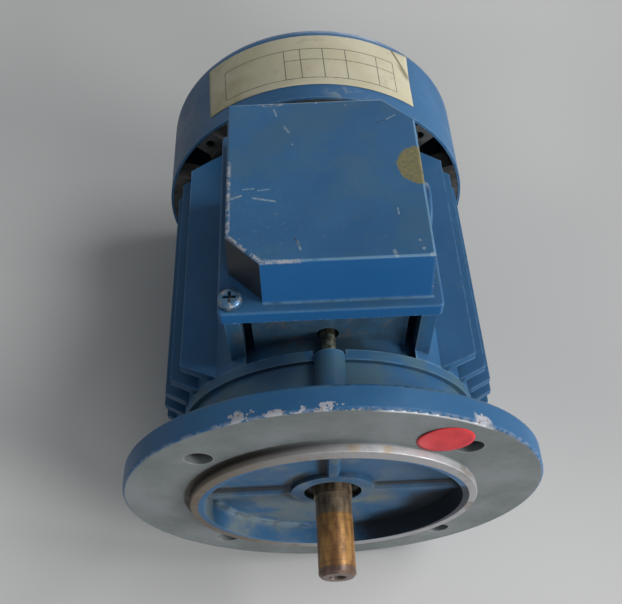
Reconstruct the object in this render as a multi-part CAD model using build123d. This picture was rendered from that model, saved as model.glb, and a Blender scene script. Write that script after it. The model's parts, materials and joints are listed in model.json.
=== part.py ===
from build123d import *
import os
from math import cos, radians, sin, sqrt, tan

# Three-phase induction motor, frame size 71, flange mounted.
# Millimetres. The shaft axis is Y. The origin is the centre of the flange's mounting face.
# The shaft end points to -Y, the fan cowl is at +Y, and the terminal box is on top, at +Z.
# Angles round the axis start at the top and turn towards +X.

# Mounting flange: standard sizes
flange_d = 160.0
flange_thick = 9.0
spigot_d = 110.0
spigot_len = 3.5
spigot_chamfer = 0.5
flange_hole_count = 4
flange_edge_round = 1.2

# Flange holes, as shares of the web between the neck and the rim.
# With the sizes given here they are 10 mm holes on a circle of 130 mm.
flange_hole_place = 8.5 / 23.5
flange_hole_width = 10.0 / 23.5

# Dish in the flange, open to the front
dish_rim_w = 5.5
dish_depth = 7.8
dish_draft = 0.8
dish_floor_thick = 5.0
dish_rib_h = 2.0
dish_rib_w = 3.0
dish_rib_slope = 1.3
rib_count = 4

# Neck of the front shield, from the flange back to the frame
neck_d = 113.0
neck_wall = 6.0
neck_rim_w = 4.0
front_joint_y = 33.0
register_len = 4.0
register_wall = 3.0
inner_rib_thick = 2.5
inner_rib_len = 9.0

# Bearing housings
hub_nose_d = 32.6
seal_bore_d = 22.6
hub_lip_len = 8.2
housing_wall = 5.0
housing_overhang = 2.5

# Shaft end: standard sizes
shaft_end_d = 14.0
shaft_end_len = 30.0
shaft_chamfer = 1.0
key_slot_w = 5.0
key_slot_depth = 3.0
key_slot_len = 20.0
key_slot_from_tip = 4.0
key_slot_turn_deg = 36.0
centre_hole_d = 4.2
centre_hole_len = 12.0
centre_cone_d = 6.4
centre_cone_slope = 60.0

# Ball bearings: standard sizes, 15 x 35 x 11
bearing_bore_d = 15.0
bearing_d = 35.0
bearing_w = 11.0
ball_d = 5.95
ball_count = 8
race_thick = 3.2
cage_thick = 2.0
cage_w = 7.2
bearing_shield_thick = 0.4
bearing_shield_inset = 0.6
rear_bearing_inset = 6.0
wave_spring_len = 1.4
circlip_thick = 1.2
circlip_bite = 1.0
circlip_w = 2.6
circlip_opening = 6.0
wave_spring_w = 2.6
seal_from_face = 2.4
seal_from_bearing = 0.4
seal_skin = 1.2
seal_lip_rise = 1.4

# Stator frame
frame_len = 112.0
bore_d = 106.0
frame_wall = 5.5
fin_pitch = 10.0
fin_thick = 2.8
side_fin_rows = 4
side_fin_reach = 66.5
fin_envelope_h = 71.2
bottom_fin_reach = 69.0
bottom_fin_rows = 3
top_fin_rows = 2
top_fin_reach = 66.0
top_fin_gap = 4.0
fin_front_sweep = 5.0
fin_rear_sweep = 8.0
fin_sweep_width = 9.0

# Tie bolts between the two shields
tie_bolt_d = 5.0
tie_circle_d = 115.0
tie_count = 4
tie_boss_d = 10.8
tie_boss_stop = 2.0
tie_boss_room = 0.4
tie_bolt_room = 1.2
tie_thread_len = 16.0
tie_head_af = 8.0
tie_head_h = 3.5
tie_end_room = 1.0
tie_seat_rise = 1.0

# Terminal box: base cast on the frame, gasket and cover
box_centre_x = 0.8
box_foot_z = 35.0
box_front_y = 36.0
box_len = 82.0
box_w = 75.0
box_top_z = 100.0
cover_plate_z = 79.0
cover_plate_thick = 5.5
cover_plate_round = 1.6
cover_side_ledge = 3.6
cover_front_ledge = 4.2
cover_rear_ledge = 5.0
cover_corner_cut = 11.4
cover_draft_deg = 2.7
cover_wall = 2.5
cover_edge_round = 0.9
gasket_thick = 0.8
base_side_inset = 1.6
base_end_inset = 0.5
base_wall = 5.4
base_recess = 3.5
base_front_wall = 4.0
base_slot_w = 3.3
base_slot_len = 10.5
base_slot_wall = 3.0
base_groove_wall = 1.5
cover_screw_d = 4.0
cover_screw_hole_len = 17.0
cover_screw_end_room = 2.0
cover_screw_from_end = 5.3
cover_screw_head_d = 8.2
cover_screw_head_h = 2.8

# Cable entries in the right wall of the box
entry_d = 18.4
entry_boss_d = 24.0
entry_boss_h = 1.6
entry_z = 60.5
entry_pitch = 30.0
plug_head_d = 22.0
plug_head_h = 3.5
plug_slot_w = 2.0
plug_slot_depth = 1.2
plug_edge_round = 1.0

# Terminal block inside the box
block_w = 54.0
block_len = 30.0
block_h = 8.0
block_base_z = 67.0
block_from_rear_wall = 11.6
block_rib_w = 1.6
block_rib_h = 5.0
block_ledge_w = 3.5
stud_d = 4.0
stud_pitch_x = 18.0
stud_pitch_y = 16.0
stud_top = 11.0
stud_tail = 0.8
link_w = 8.0
link_thick = 1.0
washer_d = 8.0
washer_thick = 0.8
nut_af = 7.0
nut_h = 3.2
block_screw_d = 4.0
block_screw_len = 13.0
block_screw_head_d = 7.0
block_screw_head_h = 2.4
lead_d = 2.0
lead_bend = 3.0
lead_step = 3.0
lead_left_offset = 7.0
lead_right_offset = 8.0
lead_cross_len = 8.0
lead_turn_room = 2.0
lead_window_w = 14.0
lead_window_len = 13.0
lead_window_from_middle = 9.0
earth_x = -22.0
earth_from_rear = 7.0
earth_pad_d = 10.0
earth_pad_z = 60.0
earth_hole_len = 7.0

# Rear shield and fan cowl
rear_plate_thick = 5.0
rear_end_wall = 3.0
rear_rib_h = 3.0
lug_len = 10.0
lug_root_r = 56.5
lug_foot_r = 61.5
wide_lug_deg = 45.0
narrow_lug_w = 11.0
narrow_lug_start_deg = 45.0
lug_hole_d = 4.2
lug_hole_r = 65.5
tie_head_pocket_d = 11.0
cowl_screw_angles = (-165, -105, 105, 165)
cowl_d = 141.4
cowl_len = 48.0
cowl_gap = 2.0
cowl_wall = 1.2
cowl_round = 7.0
cowl_screw_d = 4.0
cowl_screw_len = 9.0
cowl_screw_head_d = 7.6
cowl_screw_head_h = 1.9
grille_inner_r = 14.0
grille_slot_w = 5.0
grille_slot_pitch = 9.0
grille_rings = 5
grille_spoke_w = 5.0
grille_spokes = 6

# Electrical steel, windings and rotor cage
core_from_joint = 27.0
core_from_rear_joint = 25.0
rotor_d = 66.0
air_gap = 0.3
slot_count = 24
slot_w = 5.4
slot_mouth_w = 2.2
slot_depth = 11.0
slot_lip = 1.8
slot_liner = 1.0
wedge_thick = 0.8
coil_depth = 8.0
end_ring_thick = 4.0
end_ring_depth = 5.5
end_ring_gap = 1.0
cage_bar_d = 4.7
cage_bar_count = 20
cage_bar_cover = 1.5
cage_ring_inset = 1.0
cage_ring_h = 8.0
cage_ring_len = 6.0
cage_fin_count = 10
cage_fin_len = 8.0
cage_fin_thick = 2.2
cage_fin_inset = 1.5
shaft_core_d = 22.0
shaft_body_d = 18.0
shaft_seat_extra = 6.0

# Fan
fan_seat_d = 12.0
fan_gap = 5.4
fan_hub_d = 20.0
fan_hub_len = 18.0
fan_d = 118.0
fan_disc_d = 101.0
fan_disc_thick = 2.0
fan_blade_count = 8
fan_blade_len = 20.0
fan_blade_thick = 2.0
fan_tip_cut = 12.0
fan_flat = 1.0
fan_circlip_thick = 1.0
fan_circlip_w = 2.5
fan_circlip_opening = 3.0
fan_circlip_bite = 0.5
shaft_tail = 3.0

# Dust ring behind the rear shield
dust_ring_body = 2.6
dust_ring_len = 3.4
dust_lip_reach = 4.0
dust_lip_start = 1.2
dust_lip_thick = 0.6

# Rating label on the cowl, left bare
label_arc_deg = 78.5
label_turn_deg = -1.2
label_w = 32.5
label_from_rim = 8.0
label_thick = 0.25

# Pan head screws: the head's round by its height, and the driver recess by head and shank
pan_round_share = 0.62
recess_depth_share = 0.6
recess_w_share = 0.26
recess_reach_share = 0.27

# How far shapes that are joined or cut reach into each other
sink = 1.0

# Clearances
seat_gap = 0.02
slide_gap = 0.05
screw_gap = 0.05
screw_end_gap = 0.5
lead_gap = 0.1
wedge_gap = 0.2
hole_gap = 0.3
run_gap = 0.3
ball_gap = 0.12
cowl_fit = 0.1

# Radii worked out from the sizes above
flange_r = flange_d / 2
spigot_r = spigot_d / 2
dish_r = spigot_r - dish_rim_w
neck_r = neck_d / 2
flange_web = flange_r - neck_r
bolt_circle_r = neck_r + flange_hole_place * flange_web
flange_hole_r = flange_hole_width * flange_web / 2
bore_r = bore_d / 2
barrel_r = bore_r + frame_wall
bearing_r = bearing_d / 2
bearing_bore_r = bearing_bore_d / 2
housing_r = bearing_r + housing_wall
register_r = bore_r - slide_gap
tie_r = tie_circle_d / 2
tie_boss_r = tie_boss_d / 2
tie_hole_r = tie_bolt_d / 2 + hole_gap
seal_bore_r = seal_bore_d / 2
rotor_r = rotor_d / 2
stator_bore_r = rotor_r + air_gap
cowl_r = cowl_d / 2
cowl_inner_r = cowl_r - cowl_wall
fan_seat_r = fan_seat_d / 2

# Places along the axis worked out from the sizes above
dish_floor_y = dish_depth - spigot_len
hub_face_y = dish_floor_y - dish_rib_h
shield_back_y = dish_floor_y + dish_floor_thick
front_bearing_y = hub_face_y + hub_lip_len
rear_joint_y = front_joint_y + frame_len
rear_bearing_y = rear_joint_y - rear_bearing_inset
housing_end_y = rear_bearing_y + bearing_w + wave_spring_len
hub_end_y = housing_end_y + rear_end_wall
core_front_y = front_joint_y + core_from_joint
core_rear_y = rear_joint_y - core_from_rear_joint
rear_plate_y = rear_joint_y + rear_plate_thick
tie_seat_y = rear_plate_y + tie_seat_rise
cowl_front_y = rear_joint_y + cowl_gap
cowl_end_y = cowl_front_y + cowl_len
fan_y = hub_end_y + fan_gap
fan_end_y = fan_y + fan_hub_len
shaft_rear_y = fan_end_y + fan_circlip_thick + shaft_tail
tie_boss_end_y = front_joint_y - tie_boss_stop
tie_thread_end_y = tie_boss_end_y - tie_thread_len

# Terminal box places
box_rear_y = box_front_y + box_len
gasket_top_z = cover_plate_z - cover_plate_thick
base_top_z = gasket_top_z - gasket_thick
base_half_w = box_w / 2 - base_side_inset
base_front_y = box_front_y + base_end_inset
base_rear_y = box_rear_y - base_end_inset
cavity_half_w = base_half_w - base_wall
recess_back_y = base_front_y + base_recess
cavity_front_y = recess_back_y + base_front_wall
cavity_rear_y = base_rear_y - base_wall
slot_back_y = base_front_y + base_slot_len
screw_half_w = base_half_w - base_wall / 2
cover_screw_spots = (
    (box_centre_x - screw_half_w, box_front_y + cover_screw_from_end),
    (box_centre_x + screw_half_w, box_rear_y - cover_screw_from_end),
)
entry_y = box_front_y + (box_len - entry_pitch) / 2
block_y = cavity_rear_y - block_from_rear_wall - block_len
block_mid_y = block_y + block_len / 2
block_top_z = block_base_z + block_h
stud_spots = [
    (box_centre_x + column * stud_pitch_x, block_mid_y + row * stud_pitch_y / 2)
    for column in (-1, 0, 1)
    for row in (-1, 1)
]
block_screw_spots = [
    (box_centre_x + side * stud_pitch_x / 2, block_mid_y) for side in (-1, 1)
]
block_floor_z = block_base_z + block_h / 2
earth_y = cavity_rear_y - earth_from_rear


def rod(y0, y1, r, x=0.0, z=0.0):
    """Round bar along the axis direction."""
    return Pos(x, (y0 + y1) / 2, z) * Rot(90, 0, 0) * Cylinder(r, y1 - y0)


def post(x, y, z0, z1, r):
    """Round bar that stands upright."""
    return Pos(x, y, (z0 + z1) / 2) * Cylinder(r, z1 - z0)


def block(x0, x1, y0, y1, z0, z1):
    """Box between two corners."""
    middle = Pos((x0 + x1) / 2, (y0 + y1) / 2, (z0 + z1) / 2)
    return middle * Box(x1 - x0, y1 - y0, z1 - z0)


def turned(points):
    """Solid turned about the shaft axis from (radius, y) points."""
    return revolve(make_face(Polyline(*points, close=True)), Axis.Y)


def ring(y0, y1, r_out, r_in):
    """Plain ring round the shaft axis."""
    return turned([(r_in, y0), (r_out, y0), (r_out, y1), (r_in, y1)])


def at_angle(shape, angle):
    """A shape made at the top, turned round the shaft axis."""
    return Rot(0, angle, 0) * shape


def spread(shape, count, start=0.0):
    """Equal copies of a shape round the shaft axis."""
    return [at_angle(shape, start + 360.0 * i / count) for i in range(count)]


def sector(span):
    """Slice of space round the shaft axis, centred on the top."""
    half = radians(span / 2)
    far = 2 * cowl_r
    side_x, side_z = far * sin(half), far * cos(half)
    wedge = make_face(Polyline((0, 0), (-side_x, side_z), (side_x, side_z), close=True))
    return extrude(Plane.XZ * wedge, 2 * cowl_end_y, both=True)


def group(shapes):
    """Separate solids kept in one sub-part."""
    return Compound([solid for shape in shapes for solid in shape.solids()])


def hex_prism(x, y, z0, z1, across_flats):
    """Upright hexagonal bar."""
    outline = RegularPolygon(across_flats / 2, 6, major_radius=False)
    return extrude(Pos(x, y, z0) * outline, z1 - z0)


def tie_spots():
    """Angles of the tie bolts."""
    return [360.0 * i / tie_count for i in range(tie_count)]


def flange_end_shield():
    """Front shield: flange, spigot, dish with ribs, neck, tie bolt bosses and bearing housing."""
    disc = rod(0, flange_thick, flange_r)
    disc = fillet(disc.edges().filter_by(GeomType.CIRCLE), flange_edge_round)
    spigot = rod(-spigot_len, 0, spigot_r)
    spigot = chamfer(spigot.edges().sort_by(Axis.Y)[0], spigot_chamfer)
    neck = rod(flange_thick - sink, front_joint_y, neck_r)
    rim = rod(front_joint_y - neck_rim_w, front_joint_y, barrel_r)
    register = rod(front_joint_y, front_joint_y + register_len, register_r)
    body = disc + spigot + neck + rim + register
    for angle in tie_spots():
        body += at_angle(rod(flange_thick - sink, tie_boss_end_y, tie_boss_r, z=tie_r), angle)

    # Dish at the front and the open room behind it
    floor_r = dish_r - dish_draft
    body -= turned(
        [(0, -spigot_len), (dish_r, -spigot_len), (floor_r, dish_floor_y), (0, dish_floor_y)]
    )
    inner_r = neck_r - neck_wall
    body -= rod(shield_back_y, front_joint_y, inner_r)
    body -= rod(front_joint_y, front_joint_y + register_len, register_r - register_wall)

    # Hub nose and the cross of ribs in the dish
    body += rod(hub_face_y, dish_floor_y, hub_nose_d / 2)
    half_top = dish_rib_w / 2
    half_foot = half_top + dish_rib_slope
    section = Polyline(
        (-half_foot, dish_floor_y),
        (-half_top, hub_face_y),
        (half_top, hub_face_y),
        (half_foot, dish_floor_y),
        close=True,
    )
    rib = extrude(Pos(0, 0, seal_bore_r + sink) * make_face(section), floor_r - seal_bore_r)
    for copy in spread(rib, rib_count):
        body += copy

    # Bearing housing behind the dish, stiffened by ribs
    housing_end = front_bearing_y + bearing_w + circlip_thick + housing_overhang
    body += rod(shield_back_y - sink, housing_end, housing_r)
    inner_rib = block(
        -inner_rib_thick / 2,
        inner_rib_thick / 2,
        shield_back_y - sink,
        shield_back_y + inner_rib_len,
        housing_r - sink,
        inner_r + sink,
    )
    for copy in spread(inner_rib, rib_count, 180.0 / rib_count):
        body += copy
    body -= rod(hub_face_y, front_bearing_y, seal_bore_r)
    body -= rod(front_bearing_y, housing_end, bearing_r + seat_gap)
    clip_y = front_bearing_y + bearing_w
    body -= rod(clip_y, clip_y + circlip_thick, bearing_r + circlip_bite)

    # Tapped tie bolt holes and the four flange holes
    for angle in tie_spots():
        hole_r = tie_bolt_d / 2 + screw_gap
        body -= at_angle(rod(tie_thread_end_y, tie_boss_end_y, hole_r, z=tie_r), angle)
        clear = rod(tie_boss_end_y, front_joint_y + register_len, tie_boss_r + tie_boss_room, z=tie_r)
        body -= at_angle(clear, angle)
    flange_hole = rod(0, flange_thick, flange_hole_r, z=bolt_circle_r)
    for copy in spread(flange_hole, flange_hole_count, 180.0 / flange_hole_count):
        body -= copy
    return body


def box_outline(half_w, y0, y1):
    """Rectangle seen from above, on the box's own middle line."""
    middle = Pos(box_centre_x, (y0 + y1) / 2)
    return middle * Rectangle(2 * half_w, y1 - y0)


def base_outline():
    """Walls of the terminal box base, seen from above."""
    walls = box_outline(base_half_w, base_front_y, base_rear_y)
    walls -= box_outline(cavity_half_w, cavity_front_y, cavity_rear_y)
    walls -= box_outline(cavity_half_w, base_front_y, recess_back_y)
    pocket_w = base_slot_w + base_slot_wall
    for side in (-1, 1):
        pocket_x = box_centre_x + side * (cavity_half_w - pocket_w / 2)
        pocket_y = (recess_back_y + slot_back_y + base_slot_wall) / 2
        pocket_len = slot_back_y + base_slot_wall - recess_back_y
        walls += Pos(pocket_x, pocket_y) * Rectangle(pocket_w, pocket_len)
        slot_x = box_centre_x + side * (cavity_half_w - base_slot_w / 2)
        slot_y = (base_front_y + slot_back_y) / 2
        walls -= Pos(slot_x, slot_y) * Rectangle(base_slot_w, slot_back_y - base_front_y)
    return walls


def fin_tip(z):
    """How far a side fin reaches from the middle plane at height z."""
    return side_fin_reach * sqrt(1 - (z / fin_envelope_h) ** 2)


def frame_fins():
    """All cooling fins of the frame, before the ends are swept back."""
    half = fin_thick / 2
    y0, y1 = front_joint_y, rear_joint_y
    fins = []
    for row in range(-side_fin_rows, side_fin_rows + 1):
        z = row * fin_pitch
        reach = fin_tip(z)
        fins.append(block(-reach, reach, y0, y1, z - half, z + half))
    for row in range(-bottom_fin_rows, bottom_fin_rows + 1):
        x = row * fin_pitch
        depth = bottom_fin_reach * sqrt(1 - (x / side_fin_reach) ** 2)
        fins.append(block(x - half, x + half, y0, y1, -depth, 0))
    for row in range(-top_fin_rows, top_fin_rows + 1):
        x = row * fin_pitch
        fins.append(block(x - half, x + half, box_rear_y + top_fin_gap, y1, 0, top_fin_reach))
    merged = fins[0]
    for fin in fins[1:]:
        merged += fin
    slope_front = fin_front_sweep / fin_sweep_width
    slope_rear = fin_rear_sweep / fin_sweep_width
    far = flange_r - barrel_r
    envelope = turned(
        [
            (0, y0),
            (barrel_r, y0),
            (flange_r, y0 + slope_front * far),
            (flange_r, y1 - slope_rear * far),
            (barrel_r, y1),
            (0, y1),
        ]
    )
    return (merged & envelope) - rod(y0, y1, barrel_r - sink)


def stator_frame():
    """Finned frame with the base of the terminal box cast on it."""
    y0, y1 = front_joint_y, rear_joint_y
    body = rod(y0, y1, barrel_r) + frame_fins()
    for angle in tie_spots():
        body += at_angle(rod(y0, y1, tie_boss_r, z=tie_r), angle)
    floor_z = box_foot_z
    walls = extrude(Pos(0, 0, floor_z) * base_outline(), base_top_z - floor_z)
    body += walls - rod(y0, y1, barrel_r - sink)

    # Bosses for the cable entries, pads for the block and for the earth screw
    wall_x = box_centre_x + base_half_w
    for i in range(2):
        boss = Pos(wall_x, entry_y + i * entry_pitch, entry_z) * Rot(0, 90, 0)
        body += boss * Cylinder(entry_boss_d / 2, 2 * entry_boss_h)
    inner_x0 = box_centre_x - cavity_half_w
    inner_x1 = box_centre_x + cavity_half_w
    block_x0 = box_centre_x - block_w / 2
    for x0, x1 in (
        (inner_x0 - sink, block_x0 + block_ledge_w),
        (block_x0 + block_w - block_ledge_w, inner_x1 + sink),
    ):
        ledge = block(x0, x1, block_y, block_y + block_len, floor_z, block_base_z)
        body += ledge - rod(y0, y1, barrel_r - sink)
    for x, y in block_screw_spots:
        body += post(x, y, floor_z, block_base_z, block_screw_d)
    body += post(earth_x, earth_y, floor_z, earth_pad_z, earth_pad_d / 2)

    # Bore, tie bolt holes, and the groove under the front of the box
    body -= rod(y0, y1, bore_r)
    for angle in tie_spots():
        body -= at_angle(rod(y0, y1, tie_hole_r, z=tie_r), angle)
    inner_half = cavity_half_w
    groove = block(
        box_centre_x - inner_half, box_centre_x + inner_half, y0, recess_back_y, 0, base_top_z
    )
    groove += block(
        -tie_boss_r - sink, tie_boss_r + sink, y0, recess_back_y, 0, base_top_z
    )
    for side in (-1, 1):
        slot_x = box_centre_x + side * (inner_half - base_slot_w / 2)
        half_slot = base_slot_w / 2
        groove += block(slot_x - half_slot, slot_x + half_slot, y0, slot_back_y, 0, base_top_z)
    body -= groove - rod(y0 - sink, slot_back_y + sink, bore_r + base_groove_wall)
    clearance_y = recess_back_y - sink
    body -= rod(clearance_y, cavity_front_y, tie_hole_r + tie_bolt_room, z=tie_r)

    # Windows for the leads, one each side of the middle tie bolt
    for side in (-1, 1):
        x0 = lead_window_from_middle if side > 0 else -lead_window_from_middle - lead_window_w
        window_y = cavity_front_y + sink
        body -= block(
            x0, x0 + lead_window_w, window_y, window_y + lead_window_len, box_foot_z, base_top_z
        )

    # Screw holes and cable entries
    for x, y in cover_screw_spots:
        hole_z = base_top_z - cover_screw_hole_len
        body -= post(x, y, hole_z, base_top_z, cover_screw_d / 2 + screw_gap)
    for x, y in block_screw_spots:
        hole_z = block_floor_z - block_screw_len
        body -= post(x, y, hole_z, block_base_z, block_screw_d / 2 + screw_gap)
    body -= post(earth_x, earth_y, earth_pad_z - earth_hole_len, earth_pad_z, stud_d / 2 + screw_gap)
    for i in range(2):
        hole = Pos(wall_x, entry_y + i * entry_pitch, entry_z) * Rot(0, 90, 0)
        body -= hole * Cylinder(entry_d / 2, 2 * (base_wall + sink))
    return body


def cover_gasket():
    """Flat gasket between the box base and its cover."""
    outline = base_outline()
    for x, y in cover_screw_spots:
        outline -= Pos(x, y) * Circle(cover_screw_d / 2 + hole_gap)
    return extrude(Pos(0, 0, base_top_z) * outline, gasket_thick)


def cut_corner_outline(inset):
    """Raised part of the cover seen from above, with two opposite corners cut off."""
    x0 = box_centre_x - box_w / 2 + cover_side_ledge + inset
    x1 = box_centre_x + box_w / 2 - cover_side_ledge - inset
    y0 = box_front_y + cover_front_ledge + inset
    y1 = box_rear_y - cover_rear_ledge - inset
    cut = cover_corner_cut
    corners = ((x0 + cut, y0), (x1, y0), (x1, y1 - cut), (x1 - cut, y1), (x0, y1), (x0, y0 + cut))
    return make_face(Polyline(*corners, close=True))


def terminal_cover():
    """Cover of the terminal box: plate, raised top and two screw holes."""
    plate = extrude(
        Pos(0, 0, gasket_top_z) * box_outline(box_w / 2, box_front_y, box_rear_y),
        cover_plate_thick,
    )
    plate = fillet(plate.edges().filter_by(Axis.Z), cover_plate_round)
    plate = fillet(plate.faces().sort_by(Axis.Z)[-1].edges(), cover_edge_round)
    height = box_top_z - cover_plate_z
    outline = Pos(0, 0, cover_plate_z) * cut_corner_outline(0)
    raised = extrude(outline, height, taper=cover_draft_deg)
    raised = fillet(raised.faces().sort_by(Axis.Z)[-1].edges(), cover_edge_round)
    body = plate + raised
    hollow = Pos(0, 0, gasket_top_z) * cut_corner_outline(cover_wall)
    body -= extrude(hollow, box_top_z - gasket_top_z - cover_wall, taper=cover_draft_deg)
    for x, y in cover_screw_spots:
        body -= post(x, y, gasket_top_z, cover_plate_z, cover_screw_d / 2 + hole_gap)
    return body


def cross_recess(depth, width, reach):
    """Cross-shaped driver recess, cut downwards from the origin."""
    arm = Pos(0, 0, -depth / 2) * Box(2 * reach, width, depth)
    return arm + Rot(0, 0, 90) * arm


def pan_screw(shank_d, shank_len, head_d, head_h):
    """Pan head screw that stands on the origin with its shank downwards."""
    head = Pos(0, 0, head_h / 2) * Cylinder(head_d / 2, head_h)
    head = fillet(head.edges().sort_by(Axis.Z)[-1], head_h * pan_round_share)
    shank = Pos(0, 0, -shank_len / 2) * Cylinder(shank_d / 2, shank_len)
    depth = head_h * recess_depth_share
    arms = cross_recess(depth, shank_d * recess_w_share, head_d * recess_reach_share)
    return head + shank - Pos(0, 0, head_h) * arms


def cover_screws():
    """The two screws that hold the cover."""
    length = cover_screw_hole_len - cover_screw_end_room + cover_plate_thick
    screw = pan_screw(cover_screw_d, length, cover_screw_head_d, cover_screw_head_h)
    return group([Pos(x, y, cover_plate_z) * screw for x, y in cover_screw_spots])


def terminal_block():
    """Moulded block that carries the six studs."""
    x0 = box_centre_x - block_w / 2
    body = block(x0, x0 + block_w, block_y, block_y + block_len, block_base_z, block_top_z)
    for side in (-1, 1):
        rib_x = box_centre_x + side * stud_pitch_x / 2
        half = block_rib_w / 2
        rib_top = block_top_z + block_rib_h
        body += block(
            rib_x - half, rib_x + half, block_y, block_y + block_len, block_top_z, rib_top
        )
    for x, y in stud_spots:
        body -= post(x, y, block_base_z, block_top_z, stud_d / 2 + screw_gap)
    for x, y in block_screw_spots:
        body -= post(x, y, block_base_z, block_floor_z, block_screw_d / 2 + hole_gap)
        sink_r = block_screw_head_d / 2 + hole_gap
        body -= post(x, y, block_floor_z, block_top_z + block_rib_h, sink_r)
    return body


def terminal_studs():
    """Six threaded studs."""
    z0 = block_base_z - stud_tail
    z1 = block_top_z + stud_top
    return group([post(x, y, z0, z1, stud_d / 2) for x, y in stud_spots])


def terminal_links():
    """Three straps that join the studs in pairs."""
    straps = []
    for column in (-1, 0, 1):
        x = box_centre_x + column * stud_pitch_x
        outline = Pos(x, block_mid_y, block_top_z) * Rot(0, 0, 90) * SlotCenterToCenter(
            stud_pitch_y, link_w
        )
        strap = extrude(outline, link_thick)
        for side in (-1, 1):
            y = block_mid_y + side * stud_pitch_y / 2
            strap -= post(x, y, block_top_z, block_top_z + link_thick, stud_d / 2 + screw_gap)
        straps.append(strap)
    return group(straps)


def terminal_washers():
    """A washer on each stud."""
    z0 = block_top_z + link_thick
    z1 = z0 + washer_thick
    hole_r = stud_d / 2 + screw_gap
    return group(
        [post(x, y, z0, z1, washer_d / 2) - post(x, y, z0, z1, hole_r) for x, y in stud_spots]
    )


def terminal_nuts():
    """A nut on each stud."""
    z0 = block_top_z + link_thick + washer_thick
    z1 = z0 + nut_h
    hole_r = stud_d / 2 + screw_gap
    return group(
        [hex_prism(x, y, z0, z1, nut_af) - post(x, y, z0, z1, hole_r) for x, y in stud_spots]
    )


def terminal_block_screws():
    """Two screws that hold the block to the frame."""
    screw = pan_screw(
        block_screw_d, block_screw_len - screw_end_gap, block_screw_head_d, block_screw_head_h
    )
    return group([Pos(x, y, block_floor_z) * screw for x, y in block_screw_spots])


def earth_screw():
    """Earthing screw with its washer, inside the box."""
    screw = pan_screw(stud_d, earth_hole_len - screw_end_gap, block_screw_head_d, block_screw_head_h)
    washer = post(0, 0, 0, washer_thick, washer_d / 2) - post(
        0, 0, 0, washer_thick, stud_d / 2 + screw_gap
    )
    place = Pos(earth_x, earth_y, earth_pad_z)
    return group([place * washer, place * Pos(0, 0, washer_thick) * screw])


def entry_plug():
    """Blanking plug in the second cable entry."""
    wall_x = box_centre_x + base_half_w + entry_boss_h
    head = Pos(plug_head_h / 2, 0, 0) * Rot(0, 90, 0) * Cylinder(plug_head_d / 2, plug_head_h)
    head = fillet(head.edges().sort_by(Axis.X)[-1], plug_edge_round)
    shank_len = base_wall + entry_boss_h
    shank = Pos(-shank_len / 2, 0, 0) * Rot(0, 90, 0) * Cylinder(entry_d / 2 - screw_gap, shank_len)
    slot = Pos(plug_head_h, 0, 0) * Box(2 * plug_slot_depth, plug_head_d, plug_slot_w)
    return Pos(wall_x, entry_y + entry_pitch, entry_z) * (head + shank - slot)


def winding_leads():
    """Six leads from the winding ends, through the frame windows, to the studs."""
    z = block_base_z - stud_tail - lead_d / 2 - lead_gap
    front_y = block_mid_y - stud_pitch_y / 2
    rear_y = block_mid_y + stud_pitch_y / 2
    turn_y = cavity_front_y + lead_window_len + lead_turn_room
    cross_y = front_y + lead_cross_len
    left, middle, right = [box_centre_x + c * stud_pitch_x for c in (-1, 0, 1)]
    inner_left, inner_right = left + lead_left_offset, right - lead_right_offset
    routes = [
        (left - lead_step, 0, [(left - lead_step, cross_y), (left, rear_y)]),
        (left, 1, [(left, front_y)]),
        (inner_left, 2, [(inner_left, turn_y), (middle - lead_step, front_y), (middle, rear_y)]),
        (inner_right, 2, [(inner_right, turn_y), (middle, front_y)]),
        (right - lead_step, 1, [(right - lead_step, cross_y), (right, rear_y)]),
        (right, 0, [(right, front_y)]),
    ]
    leads = []
    for x, layer, stops in routes:
        y = end_ring_front(layer) + end_ring_thick / 2
        start_z = sqrt(coil_ring_outer_r() ** 2 - (abs(x) - lead_d / 2) ** 2) + seat_gap
        points = [(x, y, start_z), (x, y, z)] + [(px, py, z) for px, py in stops]
        path = FilletPolyline(*points, radius=lead_bend)
        outline = Plane(path @ 0, z_dir=path % 0) * Circle(lead_d / 2)
        leads.append(sweep(outline, path=path))
    return group(leads)


def coil_outer_r():
    """Outer radius of the copper in the slots."""
    return stator_bore_r + slot_lip + slot_depth - slot_liner


def coil_ring_outer_r():
    """Outer radius of the winding's end rings."""
    return coil_outer_r() + hole_gap + end_ring_depth


def end_ring_front(layer):
    """Front face of a winding's end ring at the front of the core."""
    return core_front_y - (layer + 1) * (end_ring_thick + end_ring_gap)


def stator_core():
    """Laminated stator core with slots open to the bore."""
    y0, y1 = core_front_y, core_rear_y
    body = ring(y0, y1, bore_r - seat_gap, stator_bore_r)
    slot_r0 = stator_bore_r + slot_lip
    slot = block(-slot_w / 2, slot_w / 2, y0, y1, slot_r0, slot_r0 + slot_depth)
    mouth_half = slot_mouth_w / 2
    slot += block(-mouth_half, mouth_half, y0, y1, rotor_r - sink, slot_r0 + sink)
    for copy in spread(slot, slot_count, 180.0 / slot_count):
        body -= copy
    return body


def phase_winding(phase):
    """Coils of one phase: bars in a third of the slots, joined by a ring at each end."""
    r1 = coil_outer_r()
    half = slot_w / 2 - hole_gap
    front = end_ring_front(phase)
    rear = core_front_y + core_rear_y - front
    ring_r = coil_ring_outer_r()
    inner_r = r1 + hole_gap
    body = ring(front, front + end_ring_thick, ring_r, inner_r)
    body += ring(rear - end_ring_thick, rear, ring_r, inner_r)
    pole_pitch = slot_count // 4
    for slot in range(slot_count):
        if (slot % pole_pitch) // (pole_pitch // 3) != phase:
            continue
        angle = (slot + 0.5) * 360.0 / slot_count
        bar = block(-half, half, front, rear, r1 - coil_depth, r1)
        for y in (front, rear - end_ring_thick):
            bar += block(-half, half, y, y + end_ring_thick, r1 - sink, inner_r + sink)
        body += at_angle(bar, angle)
    return body


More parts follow.
